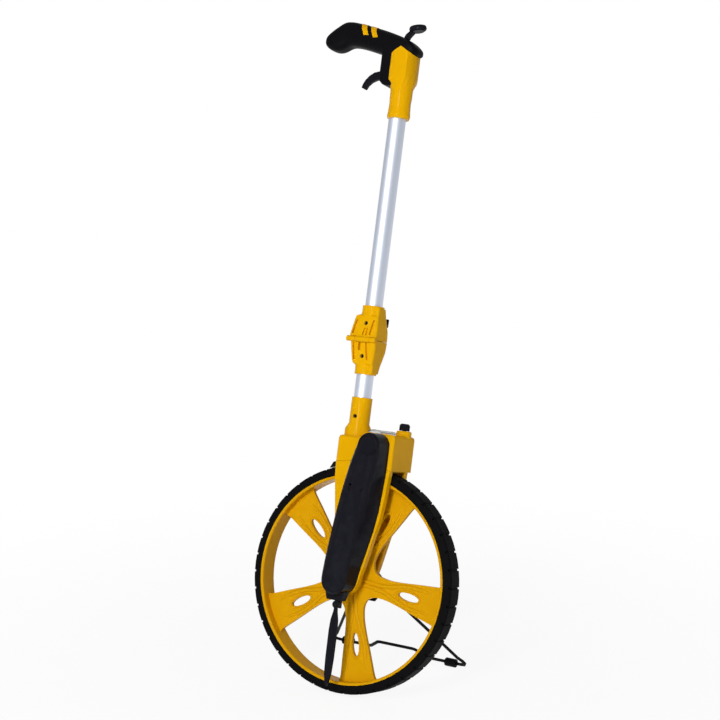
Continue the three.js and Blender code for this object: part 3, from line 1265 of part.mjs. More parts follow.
function gripBody(margin) {
  return stack('x', GRIP_SECTION_SHARES.map(([back, bottom, top, width]) => ({
    outline: gripRing(bottom * GRIP_TOP + margin, top * GRIP_TOP - margin, width * GRIP_HALF - margin),
    level: back * GRIP_BACK,
  })));
}

function triggerWeb() {
  const outline = points(WEB_FOOT_SHARES.map(([x, z]) => [x * GRIP_BACK, z * GRIP_TOP]));
  return bevelledPlate('y', outline, -GRIP_HALF, GRIP_HALF, WEB_ROUND);
}

function stripeSlab([share, footShare], margin) {
  const foot = footShare * GRIP_TOP - margin;
  const slant = Math.tan(THREE.MathUtils.degToRad(STRIPE_SLANT_DEGREES)) * (GRIP_TOP - foot);
  const from = share * GRIP_BACK - STRIPE_WIDTH / 2 - margin;
  const to = from + STRIPE_WIDTH + margin * 2;
  return plate('y', points([[from, foot], [to, foot], [to - slant, GRIP_TOP], [from - slant, GRIP_TOP]]),
    -GRIP_HALF - OVERRUN, GRIP_HALF + OVERRUN);
}

function makeStripe(share) {
  return cut(gripBody(0).intersect(stripeSlab(share, 0)), gripBody(STRIPE_DEPTH));
}

function makeGripHalf(side) {
  const slabs = STRIPE_AT_SHARES.map((share) => stripeSlab(share, FIT));
  const stripeSeat = cut(joined(...slabs), gripBody(STRIPE_DEPTH + FIT));
  return halfOf(cut(
    joined(gripBody(0), triggerWeb()),
    socketBody(FIT),
    stripeSeat,
    box(-GRIP_BACK, -TRIGGER_SLOT_FRONT, -TRIGGER_SLOT_HALF, TRIGGER_SLOT_HALF,
      TRIGGER_SLOT_BOTTOM, TRIGGER_SLOT_TOP),
    rod('y', TRIGGER_PIN_RADIUS + FIT, -TRIGGER_SLOT_HALF * 2 - FIT, TRIGGER_SLOT_HALF * 2 + FIT,
      [-TRIGGER_PIVOT_BACK, TRIGGER_PIVOT_HEIGHT], 8),
    box(-LEVER_SLOT_BACK, LEVER_SLOT_FRONT, -LEVER_SLOT_HALF, LEVER_SLOT_HALF,
      LEVER_SLOT_BOTTOM, GRIP_TOP),
    rod('y', LEVER_PIN_RADIUS + FIT, -LEVER_PIN_HALF - FIT, LEVER_PIN_HALF + FIT,
      [-LEVER_PIVOT_BACK, LEVER_PIVOT_HEIGHT], 8),
    handleScrewHoles(),
  ), side);
}

function makeHandleScrew([forward, height, face]) {
  return screw(1, [forward, height], face, HANDLE_SCREW_TIP);
}

function makeTrigger() {
  const outline = points(TRIGGER_OUTLINE_SHARES.map(([x, z]) => [x * TRIGGER_REACH, z * TRIGGER_DROP]));
  const horn = bevelledPlate('y', outline, -TRIGGER_HALF, TRIGGER_HALF, TRIGGER_ROUND);
  const reach = TRIGGER_HALF + OVERRUN;
  return cut(horn, rod('y', TRIGGER_PIN_RADIUS + FIT, -reach, reach, [0, 0], 8));
}

function makeThumbLever() {
  const foot = PAD_HEIGHT - LEVER_PIVOT_HEIGHT;
  const reach = PAD_FORWARD + LEVER_PIVOT_BACK;
  const side = points(LEVER_STALK_SHARES.map(([x, z]) => [x * reach, z * foot]));
  const stalk = plate('y', side, -LEVER_HALF, LEVER_HALF);
  const pad = stack('z', PAD_SECTION_SHARES.map(([wide, up]) => ({
    outline: ellipse(0, 0, PAD_LENGTH_HALF * wide, PAD_WIDTH_HALF * wide, 14),
    level: PAD_THICKNESS * up,
  }))).rotate([0, -PAD_TILT_DEGREES, 0]).translate([reach, 0, foot]);
  const boss = rod('y', LEVER_BOSS_RADIUS, -LEVER_HALF, LEVER_HALF, [0, 0], 16);
  const bore = rod('y', LEVER_PIN_RADIUS + FIT, -LEVER_HALF - OVERRUN, LEVER_HALF + OVERRUN, [0, 0], 8);
  return cut(joined(stalk, pad, boss), bore);
}

// Stand wire in its own plane: x across, y away from the pivot line
function standPath() {
  const slope = Math.atan2(STAND_HALF_WIDTH - STAND_TOP_HALF, STAND_LENGTH);
  const alongLeg = (distance) => [
    STAND_HALF_WIDTH - Math.sin(slope) * distance, STAND_LENGTH - Math.cos(slope) * distance];
  const bend = STAND_CORNER_SHARES.map(([across, up]) => (
    [STAND_HALF_WIDTH - across * STAND_BEND, STAND_LENGTH - up * STAND_BEND]));
  const right = [
    [STAND_END_HALF, 0], [STAND_TOP_HALF - STAND_HOOK / 2, 0],
    [STAND_TOP_HALF + STAND_HOOK / 4, STAND_HOOK / 2],
    alongLeg(STAND_BEND * 2), ...bend,
    [STAND_BUMP_BASE_HALF + STAND_HOOK, STAND_LENGTH], [STAND_BUMP_BASE_HALF, STAND_LENGTH - STAND_HOOK / 4],
    [STAND_BUMP_TOP_HALF + STAND_HOOK / 2, STAND_LENGTH - STAND_BUMP_HEIGHT + STAND_HOOK / 4],
    [STAND_BUMP_TOP_HALF - STAND_HOOK / 2, STAND_LENGTH - STAND_BUMP_HEIGHT],
  ];
  const left = right.map(([x, y]) => [-x, y]).reverse();
  return [...right, ...left].map(([x, y]) => new THREE.Vector3(x, y, 0));
}

// A wire of even width through the corners: every ring lies in the plane that halves its bend.
function bentWire(corners, radius, sides) {
  const rings = corners.map((corner, i) => {
    const arriving = corner.clone().sub(corners[Math.max(i - 1, 0)]).normalize();
    const leaving = corners[Math.min(i + 1, corners.length - 1)].clone().sub(corner).normalize();
    const along = arriving.clone().add(leaving).normalize();
    const across = new THREE.Vector3(-along.y, along.x, 0);
    const widen = 1 / Math.max(along.dot(i === 0 ? leaving : arriving), MITRE_LIMIT_SHARE);
    return Array.from({ length: sides }, (unused, k) => {
      const angle = FULL_TURN * (k + 1 / 2) / sides;
      return corner.clone().addScaledVector(across, Math.cos(angle) * radius * widen)
        .add(new THREE.Vector3(0, 0, Math.sin(angle) * radius));
    });
  });
  const indices = [];
  for (let low = 0; low < (rings.length - 1) * sides; low += sides) {
    for (let k = 0; k < sides; k += 1) {
      const next = (k + 1) % sides;
      indices.push(low + k, low + next, low + sides + next);
      indices.push(low + k, low + sides + next, low + sides + k);
    }
  }
  const last = (rings.length - 1) * sides;
  for (let k = 1; k < sides - 1; k += 1) {
    indices.push(0, k + 1, k);
    indices.push(last, last + k, last + k + 1);
  }
  const geometry = new THREE.BufferGeometry();
  const numbers = rings.flat().flatMap((corner) => corner.toArray());
  geometry.setAttribute('position', new THREE.Float32BufferAttribute(numbers, 3));
  geometry.setIndex(indices);
  return solidOf(geometry);
}

// A rubber sleeve with one of its flats turned to the ground
function makeFoot(side, down) {
  const corner = FOOT_RADIUS / Math.cos(Math.PI / FOOT_SIDES);
  const outline = Array.from({ length: FOOT_SIDES }, (unused, i) => {
    const angle = down + FULL_TURN * (i + 1 / 2) / FOOT_SIDES;
    return new THREE.Vector2(STAND_LENGTH + corner * Math.cos(angle), corner * Math.sin(angle));
  });
  const from = side * FOOT_AT - FOOT_LENGTH / 2;
  const sleeve = bevelledPlate('x', outline, from, from + FOOT_LENGTH, FIT * 3);
  const bore = rod('x', STAND_WIRE_RADIUS + FIT, from - OVERRUN, from + FOOT_LENGTH + OVERRUN,
    [STAND_LENGTH, 0], 16);
  return cut(sleeve, bore);
}

function makeStandBracket() {
  const back = LEG_OUTER + FIT;
  const front = back + BRACKET_PLATE_THICKNESS;
  const outline = points(PLATE_OUTLINE_SHARES.map(([x, z]) => (
    [x * BRACKET_PLATE_HALF, z * BRACKET_PLATE_BOTTOM])));
  const reach = STAND_PIVOT_SIDE + STAND_WIRE_RADIUS + BRACKET_PLATE_THICKNESS / 2;
  const bridge = bevelledPlate('x', points([
    [back, -BRIDGE_BOTTOM], [front, -BRIDGE_BOTTOM], [reach, STAND_PIVOT_HEIGHT - BRIDGE_HALF],
    [reach, STAND_PIVOT_HEIGHT + BRIDGE_HALF], [front, BRIDGE_TOP], [back, BRIDGE_TOP],
  ]), -BRIDGE_HALF, BRIDGE_HALF, FIT * 2);
  const nutEnd = LEG_OUTER + FIT + AXLE_NUT_HEIGHT + FIT * 2;
  return cut(
    joined(plate('y', outline, back, front), bridge),
    rod('y', AXLE_NUT_RADIUS + FIT * 2, back - OVERRUN, nutEnd),
    rod('x', STAND_WIRE_RADIUS + FIT, -BRIDGE_HALF - OVERRUN, BRIDGE_HALF + OVERRUN,
      [STAND_PIVOT_SIDE, STAND_PIVOT_HEIGHT], 16),
    ...standScrewShanks(),
  );
}

function makeStandScrew(place) {
  const face = LEG_OUTER + FIT * 2 + BRACKET_PLATE_THICKNESS + SCREW_HEAD_HEIGHT;
  return screw(1, place, face, LEG_OUTER - LEG_SKIN / 2 + FIT);
}

// Where the floor is: the leaning tyre stands on the far edge of its tread.
const WHEEL_HEIGHT = (TREAD_HALF - TREAD_CHAMFER) * Math.sin(LEAN) + TYRE_RADIUS * Math.cos(LEAN);
const STAND_PIVOT_ABOVE = STAND_PIVOT_HEIGHT * Math.cos(LEAN) - STAND_PIVOT_SIDE * Math.sin(LEAN);
const STAND_DROP = WHEEL_HEIGHT + STAND_PIVOT_ABOVE - FOOT_RADIUS;
const STAND_SLOPE = Math.asin(STAND_DROP / STAND_LENGTH) - LEAN;

function addWheel(machine) {
  piece(machine, 'tyre', makeTyre(), blackRubber);
  piece(machine, 'wheel', makeWheel(), yellowPlastic);
  piece(machine, 'axle', rod('y', AXLE_RADIUS, AXLE_NEAR, AXLE_FAR), zincSteel);
  piece(machine, 'axle_nut', makeAxleNut(), zincSteel);
}

function addFork(machine) {
  piece(machine, 'bush_near', makeBush(-1), bronze);
  piece(machine, 'bush_far', makeBush(1), bronze);
  piece(machine, 'fork_leg_near', makeLeg(-1), yellowPlastic);
  piece(machine, 'fork_leg_far', makeLeg(1), yellowPlastic);
  piece(machine, 'counter_housing', makeHousing(), yellowPlastic);
  piece(machine, 'socket_screw', makeSocketScrew(), blackSteel);
}

function addCounter(machine) {
  const counter = new THREE.Group();
  counter.position.set(SHAFT_FORWARD, 0, SHAFT_HEIGHT);
  machine.add(counter);
  const shaftEnd = FRAME_HALF + FIT * 2;
  piece(counter, 'counter_shaft', rod('y', COUNTER_SHAFT_RADIUS, AXLE_NEAR, shaftEnd, [0, 0], 16), zincSteel);
  for (let i = 0; i < NUMBER_WHEELS; i += 1) {
    const plastic = i === 0 ? blackPlastic : whitePlastic;
    const wheel = piece(counter, `number_wheel_${i + 1}`, makeNumberWheel(), plastic);
    wheel.position.y = NUMBER_WHEEL_PITCH * (i - (NUMBER_WHEELS - 1) / 2);
  }
  piece(machine, 'counter_frame', makeCounterFrame(), satinAluminium);
  piece(machine, 'carry_pinions', makePinions(), whitePlastic);
  piece(machine, 'counter_window', makeWindow(), clearPlastic);
  const knob = piece(machine, 'reset_knob', makeKnob(), blackPlastic);
  knob.position.set(KNOB_FORWARD, KNOB_SIDE, HOUSING_TOP + KNOB_BOSS_HEIGHT + FIT);
}

function addDrive(machine) {
  const onAxle = piece(machine, 'drive_pulley', makePulley(AXLE_RADIUS + FIT), blackPlastic);
  onAxle.position.y = BELT_PLANE;
  const onShaft = piece(machine, 'counter_pulley', makePulley(COUNTER_SHAFT_RADIUS + FIT), blackPlastic);
  onShaft.position.set(SHAFT_FORWARD, BELT_PLANE, SHAFT_HEIGHT);
  piece(machine, 'belt', makeBelt(), blackRubber);
  piece(machine, 'belt_case_base', makeCaseTray(), blackPlastic);
  piece(machine, 'belt_case_cover', makeCaseCover(), blackPlastic);
  piece(machine, 'case_cap', makeCaseCap(), blackPlastic);
  CASE_SCREW_PLACES.forEach((place, i) => {
    piece(machine, `case_screw_${i + 1}`, makeCaseScrew(place), blackSteel);
  });
}

function addPointerAndBrake(machine) {
  piece(machine, 'pointer_bracket', makePointerBracket(), blackPlastic);
  piece(machine, 'pointer_pin', makePointerPin(), blackSteel);
  const pointer = piece(machine, 'pointer', makePointer(), blackPlastic);
  pointer.position.set(POINTER_FORWARD, POINTER_SIDE, -POINTER_PIVOT_DROP);
  const brake = piece(machine, 'brake_arm', makeBrakeArm(), blackPlastic);
  brake.position.set(-BRAKE_PIVOT_BACK, 0, BRAKE_PIVOT_HEIGHT);
  const brakePin = rod('y', BRAKE_PIN_RADIUS, -BRAKE_PIN_HALF, BRAKE_PIN_HALF,
    [-BRAKE_PIVOT_BACK, BRAKE_PIVOT_HEIGHT], 8);
  piece(machine, 'brake_pin', brakePin, zincSteel);
}

function addTubesAndHinge(machine) {
  const hinge = new THREE.Group();
  hinge.position.set(-TUBE_BEHIND_AXLE, 0, HINGE_HEIGHT);
  machine.add(hinge);
  const seat = TUBE_SEAT_HEIGHT + TUBE_SEAT_THICKNESS + FIT - HINGE_HEIGHT;
  const top = HANDLE_HEIGHT + HANDLE_BORE - FIT - HINGE_HEIGHT;
  piece(hinge, 'lower_tube', makeTube(seat, -HINGE_FLOOR), satinAluminium);
  piece(hinge, 'upper_tube', makeTube(HINGE_FLOOR, top), satinAluminium);
  piece(hinge, 'hinge_lower', makeHingeLower(), yellowPlastic);
  piece(hinge, 'hinge_upper', makeHingeUpper(), yellowPlastic);
  piece(hinge, 'hinge_pin', makeHingePin(), zincSteel);
  piece(hinge, 'hinge_screw_lower', makeHingeScrew(-HINGE_SCREW_HEIGHT), blackSteel);
  piece(hinge, 'hinge_screw_upper', makeHingeScrew(HINGE_SCREW_HEIGHT), blackSteel);
  piece(hinge, 'latch_pin', makeLatchPin(), zincSteel);
  const latch = piece(hinge, 'latch_lever', makeLatch(), blackPlastic);
  latch.position.set(0, LATCH_PIVOT_SIDE, LATCH_PIVOT_HEIGHT);
}

function addHandle(machine) {
  const handle = new THREE.Group();
  handle.position.set(-TUBE_BEHIND_AXLE, 0, HANDLE_HEIGHT);
  machine.add(handle);
  piece(handle, 'handle_near', makeHandleHalf(-1), yellowPlastic);
  piece(handle, 'handle_far', makeHandleHalf(1), yellowPlastic);
  piece(handle, 'grip_near', makeGripHalf(-1), blackPlastic);
  piece(handle, 'grip_far', makeGripHalf(1), blackPlastic);
  STRIPE_AT_SHARES.forEach((share, i) => {
    piece(handle, `grip_stripe_${i + 1}`, makeStripe(share), yellowPlastic);
  });
  HANDLE_SCREW_PLACES.forEach((place, i) => {
    piece(handle, `handle_screw_${i + 1}`, makeHandleScrew(place), zincSteel);
  });
  const trigger = piece(handle, 'trigger', makeTrigger(), blackPlastic);
  trigger.position.set(-TRIGGER_PIVOT_BACK, 0, TRIGGER_PIVOT_HEIGHT);
  const lever = piece(handle, 'thumb_lever', makeThumbLever(), blackPlastic);
  lever.position.set(-LEVER_PIVOT_BACK, 0, LEVER_PIVOT_HEIGHT);
  const triggerPin = rod('y', TRIGGER_PIN_RADIUS, -TRIGGER_SLOT_HALF * 2, TRIGGER_SLOT_HALF * 2,
    [-TRIGGER_PIVOT_BACK, TRIGGER_PIVOT_HEIGHT], 8);
  const leverPin = rod('y', LEVER_PIN_RADIUS, -LEVER_PIN_HALF, LEVER_PIN_HALF,
    [-LEVER_PIVOT_BACK, LEVER_PIVOT_HEIGHT], 8);
  piece(handle, 'trigger_pin', triggerPin, zincSteel);
  piece(handle, 'thumb_lever_pin', leverPin, zincSteel);
}

function addStand(machine) {
  const stand = new THREE.Group();
  stand.position.set(0, STAND_PIVOT_SIDE, STAND_PIVOT_HEIGHT);
  stand.rotation.x = -STAND_SLOPE;
  machine.add(stand);
  const down = LEAN + STAND_SLOPE - FULL_TURN / 4;
  piece(stand, 'stand_wire', bentWire(standPath(), STAND_WIRE_RADIUS, 6), blackSteel);
  piece(stand, 'stand_foot_left', makeFoot(-1, down), blackRubber);
  piece(stand, 'stand_foot_right', makeFoot(1, down), blackRubber);
  piece(machine, 'stand_bracket', makeStandBracket(), blackPlastic);
  STAND_SCREW_PLACES.forEach((place, i) => {
    piece(machine, `stand_screw_${i + 1}`, makeStandScrew(place), zincSteel);
  });
}

function measuringWheel() {
  const root = new THREE.Group();
  const machine = new THREE.Group();
  machine.rotation.x = -LEAN;
  root.add(machine);
  const groups = [
    addWheel, addFork, addCounter, addDrive, addPointerAndBrake, addTubesAndHinge, addHandle, addStand,
  ];
  for (const add of groups) {
    add(machine);
  }
  root.updateMatrixWorld(true);
  const bounds = new THREE.Box3().setFromObject(root, true);
  const middle = bounds.getCenter(new THREE.Vector3());
  machine.position.set(-middle.x, -middle.y, -bounds.min.z);
  return root;
}

export default measuringWheel();
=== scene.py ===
import json
import math

import bpy
from mathutils import Matrix, Vector


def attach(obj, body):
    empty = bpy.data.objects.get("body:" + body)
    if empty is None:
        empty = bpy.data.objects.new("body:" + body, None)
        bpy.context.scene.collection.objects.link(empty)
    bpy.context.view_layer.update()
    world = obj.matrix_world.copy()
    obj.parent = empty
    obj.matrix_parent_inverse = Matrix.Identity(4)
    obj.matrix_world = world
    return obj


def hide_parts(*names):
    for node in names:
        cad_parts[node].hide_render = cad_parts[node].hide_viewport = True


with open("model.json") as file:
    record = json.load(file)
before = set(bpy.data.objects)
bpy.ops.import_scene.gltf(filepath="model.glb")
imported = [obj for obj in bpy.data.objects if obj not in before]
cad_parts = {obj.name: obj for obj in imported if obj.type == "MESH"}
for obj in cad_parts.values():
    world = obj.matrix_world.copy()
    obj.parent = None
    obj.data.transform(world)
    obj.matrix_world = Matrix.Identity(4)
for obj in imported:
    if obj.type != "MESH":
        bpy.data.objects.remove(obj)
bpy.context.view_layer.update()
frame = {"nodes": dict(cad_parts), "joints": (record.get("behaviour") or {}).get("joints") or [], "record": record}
MM = 0.001
SLOTS = {part["node"]: part["material_slot"] for part in frame["record"]["subparts"]}


# Places on the machine: the wheel leans on its stand, so pieces are made upright and then leaned over.

def joint_named(name):
    return next(joint for joint in frame["joints"] if joint["name"] == name)


def machine_matrix():
    spin = joint_named("wheel_spin")
    across = Vector(spin["axis"])
    forward = Vector((1, 0, 0))
    turn = Matrix((forward, across, forward.cross(across))).transposed().to_4x4()
    return Matrix.Translation(spin["pos_m"]) @ turn


MACHINE = machine_matrix()
UPRIGHT = MACHINE.inverted()


def machine_box(node):
    places = [UPRIGHT @ vertex.co for vertex in frame["nodes"][node].data.vertices]
    low = Vector(min(place[k] for place in places) for k in range(3))
    high = Vector(max(place[k] for place in places) for k in range(3))
    return low, high


# Small helpers for work in edit mode.

WELD = 0.004 * MM
SLIVER = 0.002 * MM
SHORTEST_CORNER = 0.05 * MM
FLAT = math.radians(0.8)

# Two directions count as the same above the first cosine, and as square to each other below the second.
ALIGNED, SQUARE = 0.9, 0.2


def deselect():
    bpy.ops.object.select_all(action="DESELECT")


def pick(piece):
    deselect()
    piece.select_set(True)
    bpy.context.view_layer.objects.active = piece


def edit(piece, mode="FACE"):
    # Opens a piece in edit mode with all of it selected.
    pick(piece)
    bpy.ops.object.mode_set(mode="EDIT")
    bpy.ops.mesh.select_mode(type=mode)
    bpy.ops.mesh.select_all(action="SELECT")


def leave():
    bpy.ops.object.mode_set(mode="OBJECT")


def choose(piece, test, kind="faces"):
    # Selects the faces, edges or vertices that pass the test. Faces and edges are tested by their middle.
    leave()
    mesh = piece.data
    for part in (*mesh.vertices, *mesh.edges, *mesh.polygons):
        part.select = False
    if kind == "faces":
        for face in mesh.polygons:
            face.select = test(face.center, face.normal)
    elif kind == "vertices":
        for vertex in mesh.vertices:
            vertex.select = test(vertex.co)
    else:
        for edge in mesh.edges:
            ends = [mesh.vertices[k].co for k in edge.vertices]
            edge.select = test((ends[0] + ends[1]) / 2, ends[1] - ends[0])
    bpy.ops.object.mode_set(mode="EDIT")
    bpy.ops.mesh.select_mode(type={"faces": "FACE", "vertices": "VERT", "edges": "EDGE"}[kind])


def modify(piece, kind, **settings):
    pick(piece)
    modifier = piece.modifiers.new(kind.title(), kind)
    for name, value in settings.items():
        setattr(modifier, name, value)
    bpy.ops.object.modifier_apply(modifier=modifier.name)


def bevel(piece, width, segments, angle):
    modify(piece, "BEVEL", width=width, segments=segments, limit_method="ANGLE",
           angle_limit=math.radians(angle), harden_normals=False, use_clamp_overlap=True)


def smooth(piece, angle):
    # Soft shading over the rounded edges that leaves the large faces flat.
    pick(piece)
    bpy.ops.object.shade_smooth_by_angle(angle=math.radians(angle))
    modify(piece, "WEIGHTED_NORMAL", keep_sharp=True)


def settle(piece):
    # Puts the object's place into its mesh.
    pick(piece)
    bpy.ops.object.transform_apply(location=True, rotation=True, scale=True)


def lean(piece):
    # Takes a piece made upright to its place on the leaning machine.
    settle(piece)
    piece.data.transform(MACHINE)
    piece.data.update()


def outward(piece):
    edit(piece)
    bpy.ops.mesh.normals_make_consistent(inside=False)
    leave()


def finish_piece(piece, name, node, material, replaced=None):
    # Names and dresses a piece, and lets it ride with the node it belongs to.
    piece.name = name
    piece.data.name = name
    piece.data.materials.clear()
    piece.data.materials.append(material)
    body = next(body for body, nodes in frame["record"]["behaviour"]["bodies"].items() if node in nodes)
    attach(piece, body)
    replaced = (node,) if replaced is None else replaced
    if replaced:
        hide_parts(*replaced)


def merge(piece, slivers=False):
    # Welds the vertices of a piece and makes its flat faces whole again.
    edit(piece)
    bpy.ops.mesh.remove_doubles(threshold=WELD)
    if slivers:
        bpy.ops.mesh.dissolve_degenerate(threshold=SLIVER)
    bpy.ops.mesh.dissolve_limited(angle_limit=FLAT)
    leave()


def copy_of(node):
    # A merged copy of a frame piece.
    mesh = frame["nodes"][node].data.copy()
    piece = bpy.data.objects.new(node + "_finished", mesh)
    bpy.context.scene.collection.objects.link(piece)
    merge(piece)
    return piece


def upright_copy(node):
    piece = copy_of(node)
    piece.data.transform(UPRIGHT)
    piece.data.update()
    return piece


def soften(piece, share, reach=0.985, where=None):
    # Rounds the corners of an upright piece whose walls run along the axle.
    def is_corner(middle, run):
        straight = run.length > SHORTEST_CORNER and abs(run.normalized().y) > reach
        return straight and (where is None or where(middle))

    choose(piece, is_corner, "edges")
    bpy.ops.mesh.bevel(offset_type="PERCENT", offset_pct=share, segments=3, affect="EDGES",
                       clamp_overlap=True)
    leave()


def with_tool(piece, tool, operation):
    # Joins another solid to a piece or cuts it out, and removes the tool.
    settle(tool)
    modify(piece, "BOOLEAN", operation=operation, object=tool, solver="EXACT")
    bpy.data.objects.remove(tool, do_unlink=True)


def block(low, high):
    low, high = Vector(low) * MM, Vector(high) * MM
    bpy.ops.mesh.primitive_cube_add(size=1, location=(low + high) / 2, scale=high - low)
    tool = bpy.context.active_object
    settle(tool)
    return tool


def rod(place, radius, length, axis, sides=48):
    # A round bar by its middle, in millimetres.
    turn = {"x": (0, math.pi / 2, 0), "y": (math.pi / 2, 0, 0), "z": (0, 0, 0)}[axis]
    bpy.ops.mesh.primitive_cylinder_add(vertices=sides, radius=radius * MM, depth=length * MM, rotation=turn,
                                        location=Vector(place) * MM)
    piece = bpy.context.active_object
    settle(piece)
    return piece


def joined(pieces):
    deselect()
    for piece in pieces:
        piece.select_set(True)
    bpy.context.view_layer.objects.active = pieces[0]
    bpy.ops.object.join()
    return bpy.context.active_object


def twin(piece):
    # A copy with its own mesh.
    other = piece.copy()
    other.data = piece.data.copy()
    bpy.context.scene.collection.objects.link(other)
    return other


def bead(places, radius, closed=False):
    # A smooth round bead through the given places, each with its share of the radius.
    curve = bpy.data.curves.new("bead", "CURVE")
    curve.dimensions = "3D"
    curve.bevel_depth = radius
    curve.bevel_resolution = 3
    curve.resolution_u = 5
    curve.use_fill_caps = not closed
    line = curve.splines.new("NURBS")
    line.points.add(len(places) - 1)
    for point, (place, share) in zip(line.points, places):
        point.co = (*place, 1)
        point.radius = share
    line.order_u = 4
    line.use_cyclic_u = closed
    line.use_endpoint_u = not closed
    drawn = bpy.data.objects.new("bead", curve)
    bpy.context.scene.collection.objects.link(drawn)
    pick(drawn)
    bpy.ops.object.convert(target="MESH")
    return bpy.context.active_object


# Materials. Effects that several of them use are node groups with values that change over the surface.

EDGE_POINTINESS = (0.52, 0.60)
PATCHES = (0.35, 0.7)
WHOLE = (0, 1)
SMOOTHEST, ROUGHEST = 0.8, 1.25
DRAWN_SMOOTHEST, DRAWN_ROUGHEST = 0.8, 1.3
GLASS_ROUGHNESS = (0.03, 0.12)
MOULD_GRAIN = 0.1 * MM
METAL_GRAIN = 0.05 * MM
NEUTRAL = 0.5

# The sockets of a Mix node that carry colours.
MIX_FIRST, MIX_SECOND, MIX_RESULT = 6, 7, 2


def new_group(name, inputs, outputs):
    group = bpy.data.node_groups.new(name, "ShaderNodeTree")
    for label, default in inputs:
        socket = group.interface.new_socket(name=label, in_out="INPUT", socket_type="NodeSocketFloat")
        socket.default_value = default
    for label, kind in outputs:
        group.interface.new_socket(name=label, in_out="OUTPUT", socket_type=kind)
    return group, group.nodes.new("NodeGroupInput"), group.nodes.new("NodeGroupOutput")


def noise_in(tree, scale=None, detail=3.0, stretch=None):
    place = tree.nodes.new("ShaderNodeTexCoord")
    noise = tree.nodes.new("ShaderNodeTexNoise")
    noise.inputs["Detail"].default_value = detail
    source = place.outputs["Object"]
    if stretch:
        mapping = tree.nodes.new("ShaderNodeMapping")
        mapping.inputs["Scale"].default_value = stretch
        tree.links.new(source, mapping.inputs["Vector"])
        source = mapping.outputs["Vector"]
    tree.links.new(source, noise.inputs["Vector"])
    if scale is not None:
        noise.inputs["Scale"].default_value = scale
    return noise


def feed(tree, value, socket):
    # Links another socket in, or sets a fixed value.
    if hasattr(value, "links"):
        tree.links.new(value, socket)
    else:
        socket.default_value = value


def ramp_in(tree, source, span, values=WHOLE, kind="LINEAR"):
    # Takes a source from one span of values to another.
    ramp = tree.nodes.new("ShaderNodeMapRange")
    ramp.interpolation_type = kind
    for label, value in zip(("From Min", "From Max", "To Min", "To Max"), (*span, *values)):
        ramp.inputs[label].default_value = value
    tree.links.new(source, ramp.inputs["Value"])
    return ramp.outputs["Result"]


def math_in(tree, operation, *values):
    node = tree.nodes.new("ShaderNodeMath")
    node.operation = operation
    for socket, value in zip(node.inputs, values):
        feed(tree, value, socket)
    return node.outputs[0]


def mixed_shader(tree, share, first, second):
    mix = tree.nodes.new("ShaderNodeMixShader")
    tree.links.new(share, mix.inputs["Fac"])
    tree.links.new(first, mix.inputs[1])
    tree.links.new(second, mix.inputs[2])
    return mix.outputs["Shader"]


def add_bump(tree, shader, height, strength, distance):
    bump = tree.nodes.new("ShaderNodeBump")
    bump.inputs["Strength"].default_value = strength
    bump.inputs["Distance"].default_value = distance
    tree.links.new(height, bump.inputs["Height"])
    tree.links.new(bump.outputs["Normal"], shader.inputs["Normal"])


def make_grain_group():
    # The fine texture of a moulded surface, as a height.
    group, given, out = new_group("moulded_grain", [("Scale", 900.0)], [("Height", "NodeSocketFloat")])
    noise = noise_in(group, detail=2.0)
    group.links.new(given.outputs["Scale"], noise.inputs["Scale"])
    group.links.new(noise.outputs["Fac"], out.inputs["Height"])
    return group


def make_cloud_group():
    # Slow changes of shade over a piece: flow of the plastic, handling and dust.
    inputs = [("Scale", 14.0), ("Spread", 0.25)]
    group, given, out = new_group("slow_clouds", inputs, [("Mask", "NodeSocketFloat")])
    noise = noise_in(group, detail=4.0)
    group.links.new(given.outputs["Scale"], noise.inputs["Scale"])
    away = math_in(group, "SUBTRACT", noise.outputs["Fac"], NEUTRAL)
    spread = math_in(group, "MULTIPLY_ADD", away, given.outputs["Spread"], NEUTRAL)
    group.links.new(spread, out.inputs["Mask"])
    return group


def make_edge_group():
    # Pale outer edges: partly wear where hands and the ground have rubbed, partly a painted highlight along the
    # edges.
    inputs = [("Amount", 0.5), ("Scale", 90.0)]
    group, given, out = new_group("rubbed_and_highlit_edges", inputs, [("Mask", "NodeSocketFloat")])
    geometry = group.nodes.new("ShaderNodeNewGeometry")
    sharp = ramp_in(group, geometry.outputs["Pointiness"], EDGE_POINTINESS)
    noise = noise_in(group, detail=3.0)
    group.links.new(given.outputs["Scale"], noise.inputs["Scale"])
    patchy = ramp_in(group, noise.outputs["Fac"], PATCHES)
    both = math_in(group, "MULTIPLY", sharp, patchy)
    wear_and_highlight = math_in(group, "MULTIPLY", both, given.outputs["Amount"])
    wear_and_highlight.node.use_clamp = True
    group.links.new(wear_and_highlight, out.inputs["Mask"])
    return group


GRAIN = make_grain_group()
CLOUDS = make_cloud_group()
EDGES = make_edge_group()


def use_group(tree, group, **values):
    node = tree.nodes.new("ShaderNodeGroup")
    node.node_tree = group
    for name, value in values.items():
        node.inputs[name].default_value = value
    return node


def mixed_colour(tree, mask, first, second):
    mix = tree.nodes.new("ShaderNodeMix")
    mix.data_type = "RGBA"
    tree.links.new(mask, mix.inputs["Factor"])
    for socket, value in ((mix.inputs[MIX_FIRST], first), (mix.inputs[MIX_SECOND], second)):
        if hasattr(value, "links"):
            tree.links.new(value, socket)
        else:
            socket.default_value = (*value, 1)
    return mix.outputs[MIX_RESULT]


def start_material(name, roughness, metallic=0.0, **sockets):
    material = bpy.data.materials.new(name)
    material.use_nodes = True
    shader = material.node_tree.nodes["Principled BSDF"]
    shader.inputs["Roughness"].default_value = roughness
    shader.inputs["Metallic"].default_value = metallic
    for label, value in sockets.items():
        shader.inputs[label.replace("_", " ")].default_value = value
    return material, material.node_tree, shader


